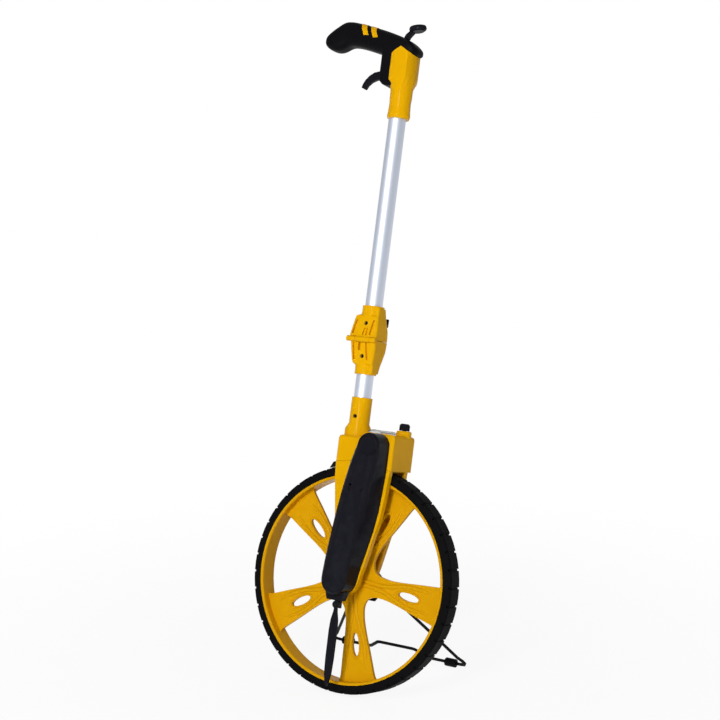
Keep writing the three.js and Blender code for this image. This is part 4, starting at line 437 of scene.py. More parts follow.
def moulded(name, colour, pale, dark, roughness, grain=900.0, depth=0.15, wear_and_highlight=0.5, spread=0.6, shine=0.2):
    # A moulded plastic or rubber: slow clouds between two shades, pale edges of rubbed wear and painted highlight,
    # fine grain.
    material, tree, shader = start_material(name, roughness, Specular_IOR_Level=shine)
    clouds = use_group(tree, CLOUDS, Scale=16.0, Spread=spread)
    shade = mixed_colour(tree, clouds.outputs["Mask"], dark, colour)
    edges = use_group(tree, EDGES, Amount=wear_and_highlight)
    tree.links.new(mixed_colour(tree, edges.outputs["Mask"], shade, pale), shader.inputs["Base Color"])
    streaks = use_group(tree, CLOUDS, Scale=45.0, Spread=1.2)
    rough = ramp_in(tree, streaks.outputs["Mask"], WHOLE, (roughness * SMOOTHEST, roughness * ROUGHEST))
    tree.links.new(rough, shader.inputs["Roughness"])
    fine = use_group(tree, GRAIN, Scale=grain)
    add_bump(tree, shader, fine.outputs["Height"], depth, MOULD_GRAIN)
    return material


def metal(name, colour, dull, roughness, stretch=(1, 1, 1), scale=400.0, depth=0.1):
    # A metal with fine drawn or turned lines.
    material, tree, shader = start_material(name, roughness, metallic=1.0)
    clouds = use_group(tree, CLOUDS, Scale=30.0, Spread=0.9)
    tree.links.new(mixed_colour(tree, clouds.outputs["Mask"], dull, colour), shader.inputs["Base Color"])
    lines = noise_in(tree, scale=scale, detail=2.0, stretch=stretch)
    span = (roughness * DRAWN_SMOOTHEST, roughness * DRAWN_ROUGHEST)
    tree.links.new(ramp_in(tree, lines.outputs["Fac"], WHOLE, span), shader.inputs["Roughness"])
    add_bump(tree, shader, lines.outputs["Fac"], depth, METAL_GRAIN)
    return material


def clear_plastic():
    material, tree, shader = start_material("clear_plastic", 0.06, Transmission_Weight=0.95, IOR=1.49)
    clouds = use_group(tree, CLOUDS, Scale=22.0, Spread=0.4)
    tree.links.new(mixed_colour(tree, clouds.outputs["Mask"], (0.86, 0.89, 0.9), (0.93, 0.95, 0.96)),
                   shader.inputs["Base Color"])
    scratches = noise_in(tree, scale=60.0, detail=6.0, stretch=(1, 8, 1))
    rough = ramp_in(tree, scratches.outputs["Fac"], WHOLE, GLASS_ROUGHNESS)
    tree.links.new(rough, shader.inputs["Roughness"])
    return material


# A moulded finish has its colour, that of its pale edges (rubbed wear and painted highlight), that of dark clouds,
# and its roughness.
# A metal has its colour, its dull colour and its roughness.
FINISH = {
    "yellow_plastic": moulded(
        "yellow_plastic", (0.80, 0.415, 0.001), (0.85, 0.47, 0.008), (0.74, 0.375, 0.001),
        0.15, grain=700.0, depth=0.02, wear_and_highlight=0.3, shine=0.035),
    "wheel_plastic": moulded(
        "wheel_plastic", (0.69, 0.345, 0.002), (0.76, 0.40, 0.006), (0.63, 0.31, 0.002),
        0.17, grain=700.0, depth=0.02, wear_and_highlight=0.3, shine=0.03),
    "black_plastic": moulded(
        "black_plastic", (0.0098, 0.0100, 0.0140), (0.019, 0.020, 0.026), (0.0078, 0.0080, 0.0112),
        0.17, grain=1100.0, depth=0.03, wear_and_highlight=0.5, shine=0.04),
    "black_rubber": moulded(
        "black_rubber", (0.0035, 0.0035, 0.005), (0.012, 0.012, 0.015), (0.0025, 0.0025, 0.0036),
        0.44, grain=1500.0, depth=0.3, wear_and_highlight=0.4, shine=0.05),
    "tyre_rubber": moulded(
        "tyre_rubber", (0.0044, 0.0042, 0.0050), (0.011, 0.0105, 0.011), (0.0032, 0.0031, 0.0036),
        0.55, grain=1300.0, depth=0.25, wear_and_highlight=0.4, shine=0.025),
    # Near-black rubber for the fills in the tread notches: painted shade.
    "notch_painted_shade": moulded(
        "notch_painted_shade", (0.0012, 0.0012, 0.0013), (0.003, 0.003, 0.003), (0.0008, 0.0008, 0.0008),
        0.8, grain=1300.0, depth=0.4, wear_and_highlight=0.2, shine=0.0),
    "white_plastic": moulded(
        "white_plastic", (0.82, 0.82, 0.78), (0.9, 0.9, 0.87), (0.74, 0.74, 0.69), 0.32),
    "black_steel": moulded(
        "black_steel", (0.004, 0.004, 0.005), (0.02, 0.02, 0.022), (0.003, 0.003, 0.0035),
        0.36, grain=1800.0, depth=0.25, wear_and_highlight=0.5, shine=0.08),
    "tube_aluminium": metal(
        "tube_aluminium", (0.72, 0.77, 0.87), (0.67, 0.72, 0.82), 0.50, stretch=(1, 1, 0.04), scale=1400.0),
    "zinc_steel": metal("zinc_steel", (0.55, 0.55, 0.57), (0.4, 0.4, 0.41), 0.34),
    "bronze": metal("bronze", (0.6, 0.38, 0.18), (0.42, 0.27, 0.12), 0.42, scale=900.0, depth=0.3),
    "clear_plastic": clear_plastic(),
}


def dress_frame_pieces():
    for name, node in frame["nodes"].items():
        node.data.materials.clear()
        node.data.materials.append(FINISH[SLOTS[name]])


# Pieces whose form is right in the frame: a merged copy with rounded edges. Widths in millimetres.
# Each has its width, its segments, the angle that counts as an edge, and the angle of soft shading.
ROUNDED = {
    "tyre": (0.5, 2, 26, 30),
    "fork_leg_near": (0.8, 3, 30, 40),
    "fork_leg_far": (0.8, 3, 30, 40),
    "belt_case_base": (0.5, 2, 35, 40),
    "pointer_bracket": (0.6, 2, 35, 40),
    "pointer": (0.5, 2, 35, 42),
    "brake_arm": (0.8, 3, 32, 42),
    "stand_foot_left": (0.9, 3, 34, 46),
    "stand_foot_right": (0.9, 3, 34, 46),
    "latch_lever": (0.5, 2, 32, 42),
    "handle_near": (0.9, 3, 32, 42),
    "handle_far": (0.9, 3, 32, 42),
    "trigger": (1.0, 3, 34, 46),
    "thumb_lever": (0.9, 3, 34, 46),
    "stand_bracket": (0.8, 3, 34, 40),
    "reset_knob": (0.7, 3, 40, 50),
    "axle_nut": (0.4, 2, 30, 35),
    "axle": (0.4, 2, 30, 35),
}


def make_rounded_pieces():
    for node, (width, segments, angle, shading) in ROUNDED.items():
        piece = copy_of(node)
        bevel(piece, width * MM, segments, angle)
        smooth(piece, shading)
        finish_piece(piece, node + "_rounded", node, FINISH[SLOTS[node]])


# Round bars and beads shade softly below this angle, in degrees.
ROUND_BAR_ANGLE = 60


def round_the_wire():
    wire = copy_of("stand_wire")
    smooth(wire, ROUND_BAR_ANGLE)
    finish_piece(wire, "stand_wire_bent", "stand_wire", FINISH["black_steel"])


# The wheel in millimetres from its centre: where its flat ribs and its windows lie, and the edges of its rim.
RIBS_FROM, RIBS_TO = 15, 138
RIB_LOW, RIB_HIGH, RIB_FALL = 3.2, 5.6, 2.2
WINDOWS_FROM, WINDOWS_TO = 22, 139
WINDOW_CORNER_SHARE = 34
RIM_SIDE, RIM_FROM, RIM_TO = 15.1, 140, 143
RIM_ROUND, RIM_SEGMENTS = 2.3, 5
WHEEL_EDGE = 0.8
SPOKES = 5
FIRST_SPOKE = math.radians(25)

# Along a spoke ridge: how far out, how far from the middle of the spoke, and the share of its radius.
RIDGE = (
    (16, 2.9, 1), (34, 2.9, 1), (48, 3.0, 1), (58, 5.0, 1), (70, 9.4, 1), (84, 13.4, 1),
    (98, 14.8, 0.95), (108, 14.8, 0.85), (117, 14.2, 0.7), (125, 13.4, 0.45),
)
RIDGE_RADIUS, RIDGE_SIDE = 3.3, 1.5
EYE_AT, EYE_HALF_LENGTH, EYE_HALF_WIDTH = 91, 19.2, 7.6
LIP_RADIUS, LIP_SIDE, LIP_STEPS = 1.4, 2.4, 16

# The near-black fills in the deep shoulder notches of the tread, painted shade of the notches, in millimetres from
# the wheel's centre.
NOTCHES = 40
NOTCH_HALF = 1.5
NOTCH_SIDES = (9.6, 13.6)
NOTCH_FOOT, NOTCH_TOP = 154.2, 155.9
NOTCH_RIM, NOTCH_DISH = 0.35, 0.3


def from_hub(place):
    # How far a place is from the axis of the wheel, in millimetres.
    return math.hypot(place.x, place.z) / MM


def sink_flat_ribs(wheel):
    # The flat ribs of the frame's wheel go, because soft ridges and raised eye lips take their place.
    for side in (-1, 1):
        choose(wheel, lambda place: RIB_LOW * MM < side * place.y < RIB_HIGH * MM
               and RIBS_FROM < from_hub(place) < RIBS_TO, "vertices")
        bpy.ops.transform.translate(value=(0, -side * RIB_FALL * MM, 0))
        leave()
    merge(wheel, slivers=True)


def round_the_rim(wheel):
    # The inner edges of the rim run round the wheel on both sides, square to the way out from its centre.
    def is_rim_edge(middle, run):
        round_the_wheel = abs(run.normalized().dot(middle.normalized())) < SQUARE
        return abs(middle.y) > RIM_SIDE * MM and RIM_FROM < from_hub(middle) < RIM_TO and round_the_wheel

    choose(wheel, is_rim_edge, "edges")
    bpy.ops.mesh.bevel(offset=RIM_ROUND * MM, segments=RIM_SEGMENTS, affect="EDGES", clamp_overlap=False)
    leave()


def make_wheel():
    # The moulded wheel, with window corners and rim made round.
    wheel = upright_copy("wheel")
    sink_flat_ribs(wheel)
    soften(wheel, WINDOW_CORNER_SHARE, where=lambda place: WINDOWS_FROM < from_hub(place) < WINDOWS_TO)
    round_the_rim(wheel)
    bevel(wheel, WHEEL_EDGE * MM, segments=3, angle=32)
    lean(wheel)
    smooth(wheel, angle=40)
    finish_piece(wheel, "wheel_moulded", "wheel", FINISH["wheel_plastic"])


def spoke_place(out, across, side):
    along = Vector((math.sin(FIRST_SPOKE), 0, math.cos(FIRST_SPOKE)))
    return (along * out + Vector((along.z, 0, -along.x)) * across + Vector((0, side, 0))) * MM


def first_spoke_ridges():
    # Soft ridges that part round the eye of a spoke, and a raised lip round the eye, on both sides.
    strands = []
    for side in (-1, 1):
        for turn in (-1, 1):
            strands.append(bead([(spoke_place(out, turn * across, side * RIDGE_SIDE), share)
                                 for out, across, share in RIDGE], RIDGE_RADIUS * MM))
        ring = []
        for step in range(LIP_STEPS):
            angle = math.tau * step / LIP_STEPS
            place = spoke_place(EYE_AT + EYE_HALF_LENGTH * math.cos(angle), EYE_HALF_WIDTH * math.sin(angle),
                                side * LIP_SIDE)
            ring.append((place, 1))
        strands.append(bead(ring, LIP_RADIUS * MM, closed=True))
    return joined(strands)


def make_spoke_ridges():
    ridges = first_spoke_ridges()
    for k in range(SPOKES):
        copy = twin(ridges)
        copy.data.transform(Matrix.Rotation(-math.tau * k / SPOKES, 4, "Y"))
        lean(copy)
        smooth(copy, ROUND_BAR_ANGLE)
        finish_piece(copy, "spoke_ridges_%d" % (k + 1), "wheel", FINISH["wheel_plastic"], ())
    bpy.data.objects.remove(ridges, do_unlink=True)


def make_tread_notches():
    # Near-black dished fills at the bottom of the deep shoulder notches between the tread blocks: painted shade
    # inside the notches.
    notches = []
    for side in (-1, 1):
        near, far = sorted(side * reach for reach in NOTCH_SIDES)
        notch = block((-NOTCH_HALF, near, NOTCH_FOOT), (NOTCH_HALF, far, NOTCH_TOP))
        choose(notch, lambda middle, normal: normal.z > ALIGNED)
        bpy.ops.mesh.inset(thickness=NOTCH_RIM * MM, depth=-NOTCH_DISH * MM)
        leave()
        notches.append(notch)
    pair = joined(notches)
    rings = []
    for k in range(NOTCHES):
        copy = twin(pair)
        copy.data.transform(Matrix.Rotation(-math.tau * (k + 0.5) / NOTCHES + math.pi / 2, 4, "Y"))
        rings.append(copy)
    bpy.data.objects.remove(pair, do_unlink=True)
    ring = joined(rings)
    lean(ring)
    finish_piece(ring, "tread_notch_painted_shade", "tyre", FINISH["notch_painted_shade"], ())


# How far the tube stands from the axle, in millimetres forward.
TUBE_AT = -22.8

# The folding hinge, in millimetres from the tube and its parting face.
# A ring has its level above that face, and its back, front, near and far side.
# A slot in the near face has its start across and up, its end across and up, its width and its depth.
HINGE_AT = Vector((TUBE_AT, 0, 337))
HINGE_UPPER_RINGS = (
    (0.3, -24.2, 19.8, -20, 19.4), (6.8, -24.0, 19.6, -19.0, 19.4), (15.0, -23.0, 19.2, -17.6, 18.7),
    (29.0, -20.6, 17.6, -15.4, 14.2), (34.0, -19.2, 16.9, -14.8, 12.5), (36.2, -12.7, 16.6, -12.6, 12.0),
    (46.5, -11.7, 15.6, -11.0, 10.0),
)
HINGE_LOWER_RINGS = (
    (-0.3, -21.2, 19.8, -20, 19.4), (-6.8, -20.9, 19.6, -19.0, 19.4), (-15.0, -19.9, 19.2, -17.6, 18.7),
    (-29.0, -18.0, 17.6, -15.4, 14.2), (-34.0, -16.0, 16.9, -14.8, 12.5), (-36.2, -12.7, 16.6, -12.6, 12.0),
    (-46.5, -11.7, 15.6, -10.2, 10.0),
)
HINGE_UPPER_SLOTS = (
    (-18.0, 7.0, -14.8, 27.6, 3.6, 3.4), (9.6, 6.6, 12.6, 28.4, 3.6, 3.4),
    (-2.0, 6.2, 0.0, 16.4, 2.4, 2.6), (3.6, 6.2, 4.4, 17.0, 2.2, 2.6),
)
HINGE_LOWER_SLOTS = (
    (-14.8, -5.2, -12.6, -29.4, 3.6, 3.4), (6.0, -4.4, 8.4, -28.6, 3.6, 3.4),
    (-4.2, -3.0, -5.2, -16.2, 5.0, 5.0),
)
HINGE_CORNER_SHARE = 0.24
HINGE_ROUND, HINGE_EDGE = 1.5, 0.35
COLLAR_RADIUS, COLLAR_LENGTH, COLLAR_AT = 15.6, 43, 27.5
KNUCKLE_AT = -20
KNUCKLE_RADIUS, KNUCKLE_ROUND, KNUCKLE_ROOM = 4.0, 1.1, 4.5
UPPER_KNUCKLES = ((-11.9, 11.9),)
UPPER_GAPS = ((-26, -12.1), (12.1, 26))
LOWER_KNUCKLES = ((-25.6, -12.1), (12.1, 21.2))
LOWER_GAPS = ((-12.1, 12.1),)
LATCH_HALF, LATCH_SIDE, LATCH_TOP, LATCH_FOOT = 12.7, 14, 37, -9.5
LATCH_OUTSIDE, LATCH_OVERRUN = 26, 2
TUBE_BORE_RADIUS, TUBE_BORE_LENGTH, TUBE_BORE_AT = 12.8, 50, 31
WELL_RADIUS, WELL_LENGTH, WELL_AT = 2.9, 16, -20
HINGE_SCREW_HEIGHT = 23.5
SLOT_CLEARANCE = 6
SLOT_END_SHARE = 0.48


def grown(rings, corner):
    # A form with rounded corners that grows ring by ring.
    level, back, front, near, far = rings[0]
    middle = Vector(((back + front) / 2, (near + far) / 2, level))
    size = Vector((front - back, far - near))
    bpy.ops.mesh.primitive_plane_add(size=2, location=(HINGE_AT + middle) * MM)
    form = bpy.context.active_object
    edit(form, "VERT")
    bpy.ops.mesh.bevel(offset=corner, segments=5, affect="VERTICES")
    leave()
    form.scale = (size.x / 2 * MM, size.y / 2 * MM, 1)
    settle(form)
    edit(form)
    for level, back, front, near, far in rings[1:]:
        place = Vector(((back + front) / 2, (near + far) / 2, level))
        bpy.ops.mesh.extrude_region_move(TRANSFORM_OT_translate={"value": (place - middle) * MM})
        bpy.ops.transform.resize(value=((front - back) / size.x, (far - near) / size.y, 1),
                                 center_override=(HINGE_AT + place) * MM)
        middle, size = place, Vector((front - back, far - near))
    leave()
    outward(form)
    return form


def near_face(rings, level):
    # How far the near face stands from the tube at a level.
    for first, second in zip(rings, rings[1:]):
        low, high = sorted((first[0], second[0]))
        if low <= level <= high:
            return first[3] + (second[3] - first[3]) * (level - first[0]) / (second[0] - first[0])
    return rings[0][3]


def slot_tool(rings, start, foot, end, top, width, depth):
    # A long slot with round ends that follows the slope of the near face.
    low = Vector((start, near_face(rings, foot), foot))
    high = Vector((end, near_face(rings, top), top))
    run = high - low
    tool = block((-width / 2, -SLOT_CLEARANCE, 0), (width / 2, depth, run.length))
    choose(tool, lambda middle, way: abs(way.normalized().y) > ALIGNED, "edges")
    bpy.ops.mesh.bevel(offset=width * SLOT_END_SHARE * MM, segments=5, affect="EDGES")
    leave()
    along = run.normalized()
    right = Vector((0, 1, 0)).cross(along).normalized()
    turn = Matrix((right, along.cross(right), along)).transposed().to_4x4()
    tool.data.transform(Matrix.Translation((HINGE_AT + low) * MM) @ turn)
    return tool


def across_hinge(start, end, radius):
    return rod(HINGE_AT + Vector(((start + end) / 2, KNUCKLE_AT, 0)), radius, end - start, "x")


def make_hinge_shell(node, rings, slots, knuckles, gaps):
    # The upper half grows up from the parting face and the lower half grows down from it.
    side = 1 if rings[1][0] > 0 else -1

    def at(across, away):
        return HINGE_AT + Vector((0, across, side * away))

    shell = grown(rings, HINGE_CORNER_SHARE)
    collar = rod(at(0, COLLAR_AT), COLLAR_RADIUS, COLLAR_LENGTH, "z", sides=64)
    with_tool(shell, collar, "UNION")
    bevel(shell, HINGE_ROUND * MM, segments=4, angle=24)
    for start, end in gaps:
        with_tool(shell, across_hinge(start, end, KNUCKLE_ROOM), "DIFFERENCE")
    for slot in slots:
        with_tool(shell, slot_tool(rings, *slot), "DIFFERENCE")
    for start, end in knuckles:
        pin = across_hinge(start, end, KNUCKLE_RADIUS)
        bevel(pin, KNUCKLE_ROUND * MM, segments=4, angle=40)
        with_tool(shell, pin, "UNION")
    foot, top = (LATCH_FOOT, LATCH_OVERRUN) if side < 0 else (-LATCH_OVERRUN, LATCH_TOP)
    pocket = block(HINGE_AT + Vector((-LATCH_HALF, LATCH_SIDE, foot)),
                   HINGE_AT + Vector((LATCH_HALF, LATCH_OUTSIDE, top)))
    with_tool(shell, pocket, "DIFFERENCE")
    bore = rod(at(0, TUBE_BORE_AT), TUBE_BORE_RADIUS, TUBE_BORE_LENGTH, "z", sides=64)
    with_tool(shell, bore, "DIFFERENCE")
    well = rod(at(WELL_AT, HINGE_SCREW_HEIGHT), WELL_RADIUS, WELL_LENGTH, "y", sides=32)
    with_tool(shell, well, "DIFFERENCE")
    bevel(shell, HINGE_EDGE * MM, segments=2, angle=40)
    lean(shell)
    smooth(shell, angle=42)
    finish_piece(shell, node + "_moulded", node, FINISH["yellow_plastic"])


def make_hinge():
    make_hinge_shell("hinge_upper", HINGE_UPPER_RINGS, HINGE_UPPER_SLOTS, UPPER_KNUCKLES, UPPER_GAPS)
    make_hinge_shell("hinge_lower", HINGE_LOWER_RINGS, HINGE_LOWER_SLOTS, LOWER_KNUCKLES, LOWER_GAPS)


# The belt case, in millimetres: the places of its two screw wells, and the rings of its cap from the rim in.
CASE_EDGE, CASE_CORNER_SHARE = 1.4, 32
CASE_SCREWS_AT = ((8.4, 133.6), (29.0, 129.0))
CASE_WELL_RADIUS, CASE_WELL_LENGTH, CASE_WELL_SIDE = 1.9, 5, -58.2
CAP_RINGS = ((1.3, 0), (0.5, -1.0), (0.5, 0), (0.5, 0.7), (2.2, -0.35), (2.6, -0.45), (2.8, -0.2))
CAP_EDGE = 0.3

# The front of the counter housing has chamfered edges, which are made round.
FRONT_FROM, FRONT_TOP, FRONT_SIDE, FRONT_SHORTEST = 48.4, 204, 24, 20
FRONT_ROUND, HOUSING_EDGE = 1.5, 0.9


def make_case_cover():
    cover = upright_copy("belt_case_cover")
    soften(cover, CASE_CORNER_SHARE, reach=0.95)
    bevel(cover, CASE_EDGE * MM, segments=4, angle=30)
    for across, height in CASE_SCREWS_AT:
        well = rod((across, CASE_WELL_SIDE, height), CASE_WELL_RADIUS, CASE_WELL_LENGTH, "y", sides=24)
        with_tool(cover, well, "DIFFERENCE")
    lean(cover)
    smooth(cover, angle=42)
    finish_piece(cover, "belt_case_cover_moulded", "belt_case_cover", FINISH["black_plastic"])


def inset_near_face(piece, rings):
    # Each ring is how far in it lies and how far it then rises or, below zero, sinks.
    choose(piece, lambda middle, normal: normal.y < -ALIGNED)
    for thickness, depth in rings:
        bpy.ops.mesh.inset(thickness=thickness * MM, depth=depth * MM)
    leave()


def make_case_cap():
    # A dished cap with a flat rim and a fine groove inside it.
    low, high = machine_box("case_cap")
    bpy.ops.mesh.primitive_cylinder_add(vertices=72, radius=(high.x - low.x) / 2, depth=high.y - low.y,
                                        location=(low + high) / 2, rotation=(math.pi / 2, 0, 0))
    cap = bpy.context.active_object
    settle(cap)
    inset_near_face(cap, CAP_RINGS)
    bevel(cap, CAP_EDGE * MM, segments=2, angle=40)
    lean(cap)
    smooth(cap, angle=40)
    finish_piece(cap, "case_cap_dished", "case_cap", FINISH["black_plastic"])


def make_housing():
    housing = upright_copy("counter_housing")

    def on_front(middle, run):
        # The long edges of the two chamfers that stand up beside the front face.
        beside = abs(middle.y) > FRONT_SIDE * MM and run.length > FRONT_SHORTEST * MM
        return beside and middle.x > FRONT_FROM * MM and middle.z < FRONT_TOP * MM

    choose(housing, on_front, "edges")
    bpy.ops.mesh.bevel(offset=FRONT_ROUND * MM, segments=4, affect="EDGES", clamp_overlap=True)
    leave()
    bevel(housing, HOUSING_EDGE * MM, segments=3, angle=32)
    lean(housing)
    smooth(housing, angle=42)
    finish_piece(housing, "counter_housing_moulded", "counter_housing", FINISH["yellow_plastic"])


# Along the grip: how far back, its lower and upper edge and half its width, in millimetres from its hub.
GRIP_RINGS = (
    (-132.6, 111.5, 116.0, 7.2), (-130.4, 106.6, 120.8, 12.4), (-125.4, 102.4, 126.4, 15.2),
    (-117.0, 99.2, 132.8, 16.3), (-108.0, 98.9, 139.0, 16.0), (-101.0, 101.6, 142.9, 15.9),
    (-95.0, 104.9, 143.0, 15.7), (-86.2, 107.5, 142.7, 15.9), (-60.0, 101.6, 136.3, 15.9),
    (-31.2, 92.0, 128.5, 16.7), (-11.2, 91.2, 121.6, 17.6), (5.0, 90.9, 115.3, 18.4),
    (15.0, 90.3, 109.0, 17.5), (21.2, 90.9, 103.6, 14.2), (24.6, 92.8, 99.2, 8.4),
)
HANDLE_AT = Vector((TUBE_AT, 0, 657.5))
GRIP_CORNER_SHARE = 0.66

# The stripes by their back and foot, and web, trigger slot and lever slot by their low and high corners.
STRIPES = {"grip_stripe_1": (-64.4, 120.1), "grip_stripe_2": (-48.2, 116.2)}
STRIPE_SLANT = math.radians(24)
STRIPE_WIDTH, STRIPE_RISE, STRIPE_EDGE = 8.3, 0.5, 0.15
WEB = ((-31.5, -16, 46.4), (-7.5, 16, 104))
WEB_HEEL_ROUND, WEB_ROUND, HEEL_REACH = 13, 4, 1
TRIGGER_SLOT = ((-60, -5.2, 51.5), (-17.8, 5.2, 77))
LEVER_SLOT = ((-11.5, -4, 106.8), (8.5, 4, 150))
GRIP_HOLE_AT, GRIP_HOLE_RADIUS, GRIP_HOLE_LENGTH = Vector((-90, 16.6, 122)), 2.7, 8

# Screw heads sunk in their wells: where each stands, and how far behind that place its middle lies.
SUNK_SCREWS = {
    "socket_screw": Vector((TUBE_AT, -15, 228)),
    "hinge_screw_upper": HINGE_AT + Vector((1.2, -15.2, HINGE_SCREW_HEIGHT)),
    "hinge_screw_lower": HINGE_AT + Vector((1.2, -15.2, -HINGE_SCREW_HEIGHT)),
}
HEAD_RADIUS, HEAD_LENGTH, HEAD_SINK, HEAD_EDGE = 2.8, 3.2, 1.4, 0.12
HEAD_RINGS = ((0.4, 0), (0.15, -0.9), (0.5, 0))


def grip_form():
    # The grip grows ring by ring from a rounded square at its heel, and is then made smooth.
    back, low, high, half = GRIP_RINGS[0]
    middle, height = Vector((back, 0, (low + high) / 2)), high - low
    bpy.ops.mesh.primitive_plane_add(size=2, location=(HANDLE_AT + middle) * MM,
                                     rotation=(0, -math.pi / 2, 0))
    grip = bpy.context.active_object
    edit(grip, "VERT")
    bpy.ops.mesh.bevel(offset=GRIP_CORNER_SHARE, segments=4, affect="VERTICES")
    leave()
    grip.scale = (height / 2 * MM, half * MM, 1)
    settle(grip)
    edit(grip)
    for back, low, high, wide in GRIP_RINGS[1:]:
        place = Vector((back, 0, (low + high) / 2))
        bpy.ops.mesh.extrude_region_move(TRANSFORM_OT_translate={"value": (place - middle) * MM})
        bpy.ops.transform.resize(value=(1, wide / half, (high - low) / height),
                                 center_override=(HANDLE_AT + place) * MM)
        middle, half, height = place, wide, high - low
    leave()
    outward(grip)
    modify(grip, "SUBSURF", levels=2, render_levels=2)
    return grip


def make_stripe(grip, node, back, foot):
    # A slanted band cut from the grip's own skin and raised a little.
    stripe = twin(grip)
    across = Vector((math.cos(STRIPE_SLANT), 0, math.sin(STRIPE_SLANT)))
    cuts = ((back, across, True), (back + STRIPE_WIDTH, across, False), (back, Vector((0, 0, 1)), True))
    edit(stripe)
    for place, normal, lower in cuts:
        bpy.ops.mesh.select_all(action="SELECT")
        bpy.ops.mesh.bisect(plane_co=(HANDLE_AT + Vector((place, 0, foot))) * MM, plane_no=normal,
                            clear_inner=lower, clear_outer=not lower)
    leave()
    modify(stripe, "SOLIDIFY", thickness=STRIPE_RISE * MM, offset=1)
    bevel(stripe, STRIPE_EDGE * MM, segments=2, angle=40)
    lean(stripe)
    smooth(stripe, angle=40)
    finish_piece(stripe, node + "_inlaid", node, FINISH["yellow_plastic"])


def handle_block(corners):
    low, high = corners
    return block(HANDLE_AT + Vector(low), HANDLE_AT + Vector(high))


def make_web():
    # The web under the grip, with a wide round at its lower back corner.
    web = handle_block(WEB)
    heel = (HANDLE_AT + Vector(WEB[0])) * MM

    def at_heel(middle, run):
        return abs(middle.x - heel.x) < HEEL_REACH * MM and abs(middle.z - heel.z) < HEEL_REACH * MM

    choose(web, at_heel, "edges")
    bpy.ops.mesh.bevel(offset=WEB_HEEL_ROUND * MM, segments=5, affect="EDGES")
    leave()
    bevel(web, WEB_ROUND * MM, segments=4, angle=40)
    return web


def make_grip():
    grip = grip_form()
    for node, (back, foot) in STRIPES.items():
        make_stripe(grip, node, back, foot)
    with_tool(grip, make_web(), "UNION")
    with_tool(grip, handle_block(TRIGGER_SLOT), "DIFFERENCE")
    with_tool(grip, handle_block(LEVER_SLOT), "DIFFERENCE")
    hole = rod(HANDLE_AT + GRIP_HOLE_AT, GRIP_HOLE_RADIUS, GRIP_HOLE_LENGTH, "y", sides=24)
    with_tool(grip, hole, "DIFFERENCE")
    lean(grip)
    smooth(grip, angle=45)
    finish_piece(grip, "grip_moulded", "grip_near", FINISH["black_rubber"], ("grip_near", "grip_far"))


# Black heads nearly as wide as the hinge wells, so each well reads as a dark hole: partly the screws' own black
# finish, partly painted shade of the hole.
def make_sunk_screws():
    for node, place in SUNK_SCREWS.items():
        head = rod(place + Vector((0, HEAD_SINK, 0)), HEAD_RADIUS, HEAD_LENGTH, "y", sides=32)
        inset_near_face(head, HEAD_RINGS)
        bevel(head, HEAD_EDGE * MM, segments=2, angle=40)
        lean(head)
        smooth(head, angle=40)
        finish_piece(head, node + "_sunk", node, FINISH["black_steel"])


# The number wheels and their digits, and the wall of the tubes, with lengths in millimetres.
NUMBER_WHEELS = 5
DIGITS = 10
DIGIT_SIZE, DIGIT_RISE, DIGIT_SINK = 7, 0.12, 0.02
TUBE_WALL, TUBE_EDGE = 1.6, 0.3


def make_digits():
    # Black digits round each white number wheel, read from behind the machine.
    for k in range(1, NUMBER_WHEELS + 1):
        node = "number_wheel_%d" % k
        low, high = machine_box(node)
        centre, radius = (low + high) / 2, (high.z - low.z) / 2
        digits = []
        for digit in range(DIGITS):
            bpy.ops.object.text_add()
            text = bpy.context.active_object
            text.data.body = str(digit)
            text.data.size = DIGIT_SIZE * MM
            text.data.align_x = "CENTER"
            text.data.align_y = "CENTER"
            text.data.extrude = DIGIT_RISE * MM
            bpy.ops.object.convert(target="MESH")
            text = bpy.context.active_object
            angle = math.tau * digit / DIGITS
            out = Vector((math.sin(angle), 0, math.cos(angle)))
            right = Vector((0, -1, 0))
            turn = Matrix((right, out.cross(right), out)).transposed().to_4x4()
            text.data.transform(Matrix.Translation(centre + out * (radius - DIGIT_SINK * MM)) @ turn)
            digits.append(text)
        ring = joined(digits)
        lean(ring)
        finish_piece(ring, node + "_digits", node, FINISH["black_plastic"], ())


def make_tube(node):
    low, high = machine_box(node)
    middle = (low + high) / 2
    radius = (high.x - low.x) / 2
    bpy.ops.mesh.primitive_cylinder_add(vertices=96, radius=radius, depth=high.z - low.z,
                                        end_fill_type="NOTHING", location=middle)
    tube = bpy.context.active_object
    modify(tube, "SOLIDIFY", thickness=TUBE_WALL * MM, offset=-1)
    bevel(tube, TUBE_EDGE * MM, segments=2, angle=40)
    lean(tube)
    smooth(tube, angle=40)
    finish_piece(tube, node + "_drawn", node, FINISH["tube_aluminium"])


# The photograph's camera: 75 mm lens, 10 degrees above the wheel, 30 degrees round from its side.

LENS_MM, SENSOR_MM = 75, 36
CAMERA_FROM_WHEEL = Vector((1.034, -1.745, 0.671))
CAMERA_TURN = (math.radians(80), 0, math.radians(30.4))

# Each softbox: its place, width and height in metres, its power in watts, and whether gloss shows it.
MIDDLE = (0, 0, 0.45)
SOFTBOXES = {
    "key_light": ((0.42, -2.9, 2.1), 0.9, 0.9, 46, True),
    "strip_light": ((0.08, -3.0, 0.95), 0.16, 1.7, 30, True),
    "fill_light": ((2.4, -0.6, 1.0), 1.2, 1.8, 9, False),
    "rim_light": ((-0.6, 2.2, 1.7), 1.4, 1.0, 9, False),
}
SOFT_LIGHT = 0.28
FRONT = (0.30, -0.95, 0.10)
FRONT_SPAN = (-0.75, 0.15)
GLOSS_BEHIND_AND_BEFORE = (0.65, 0.6)

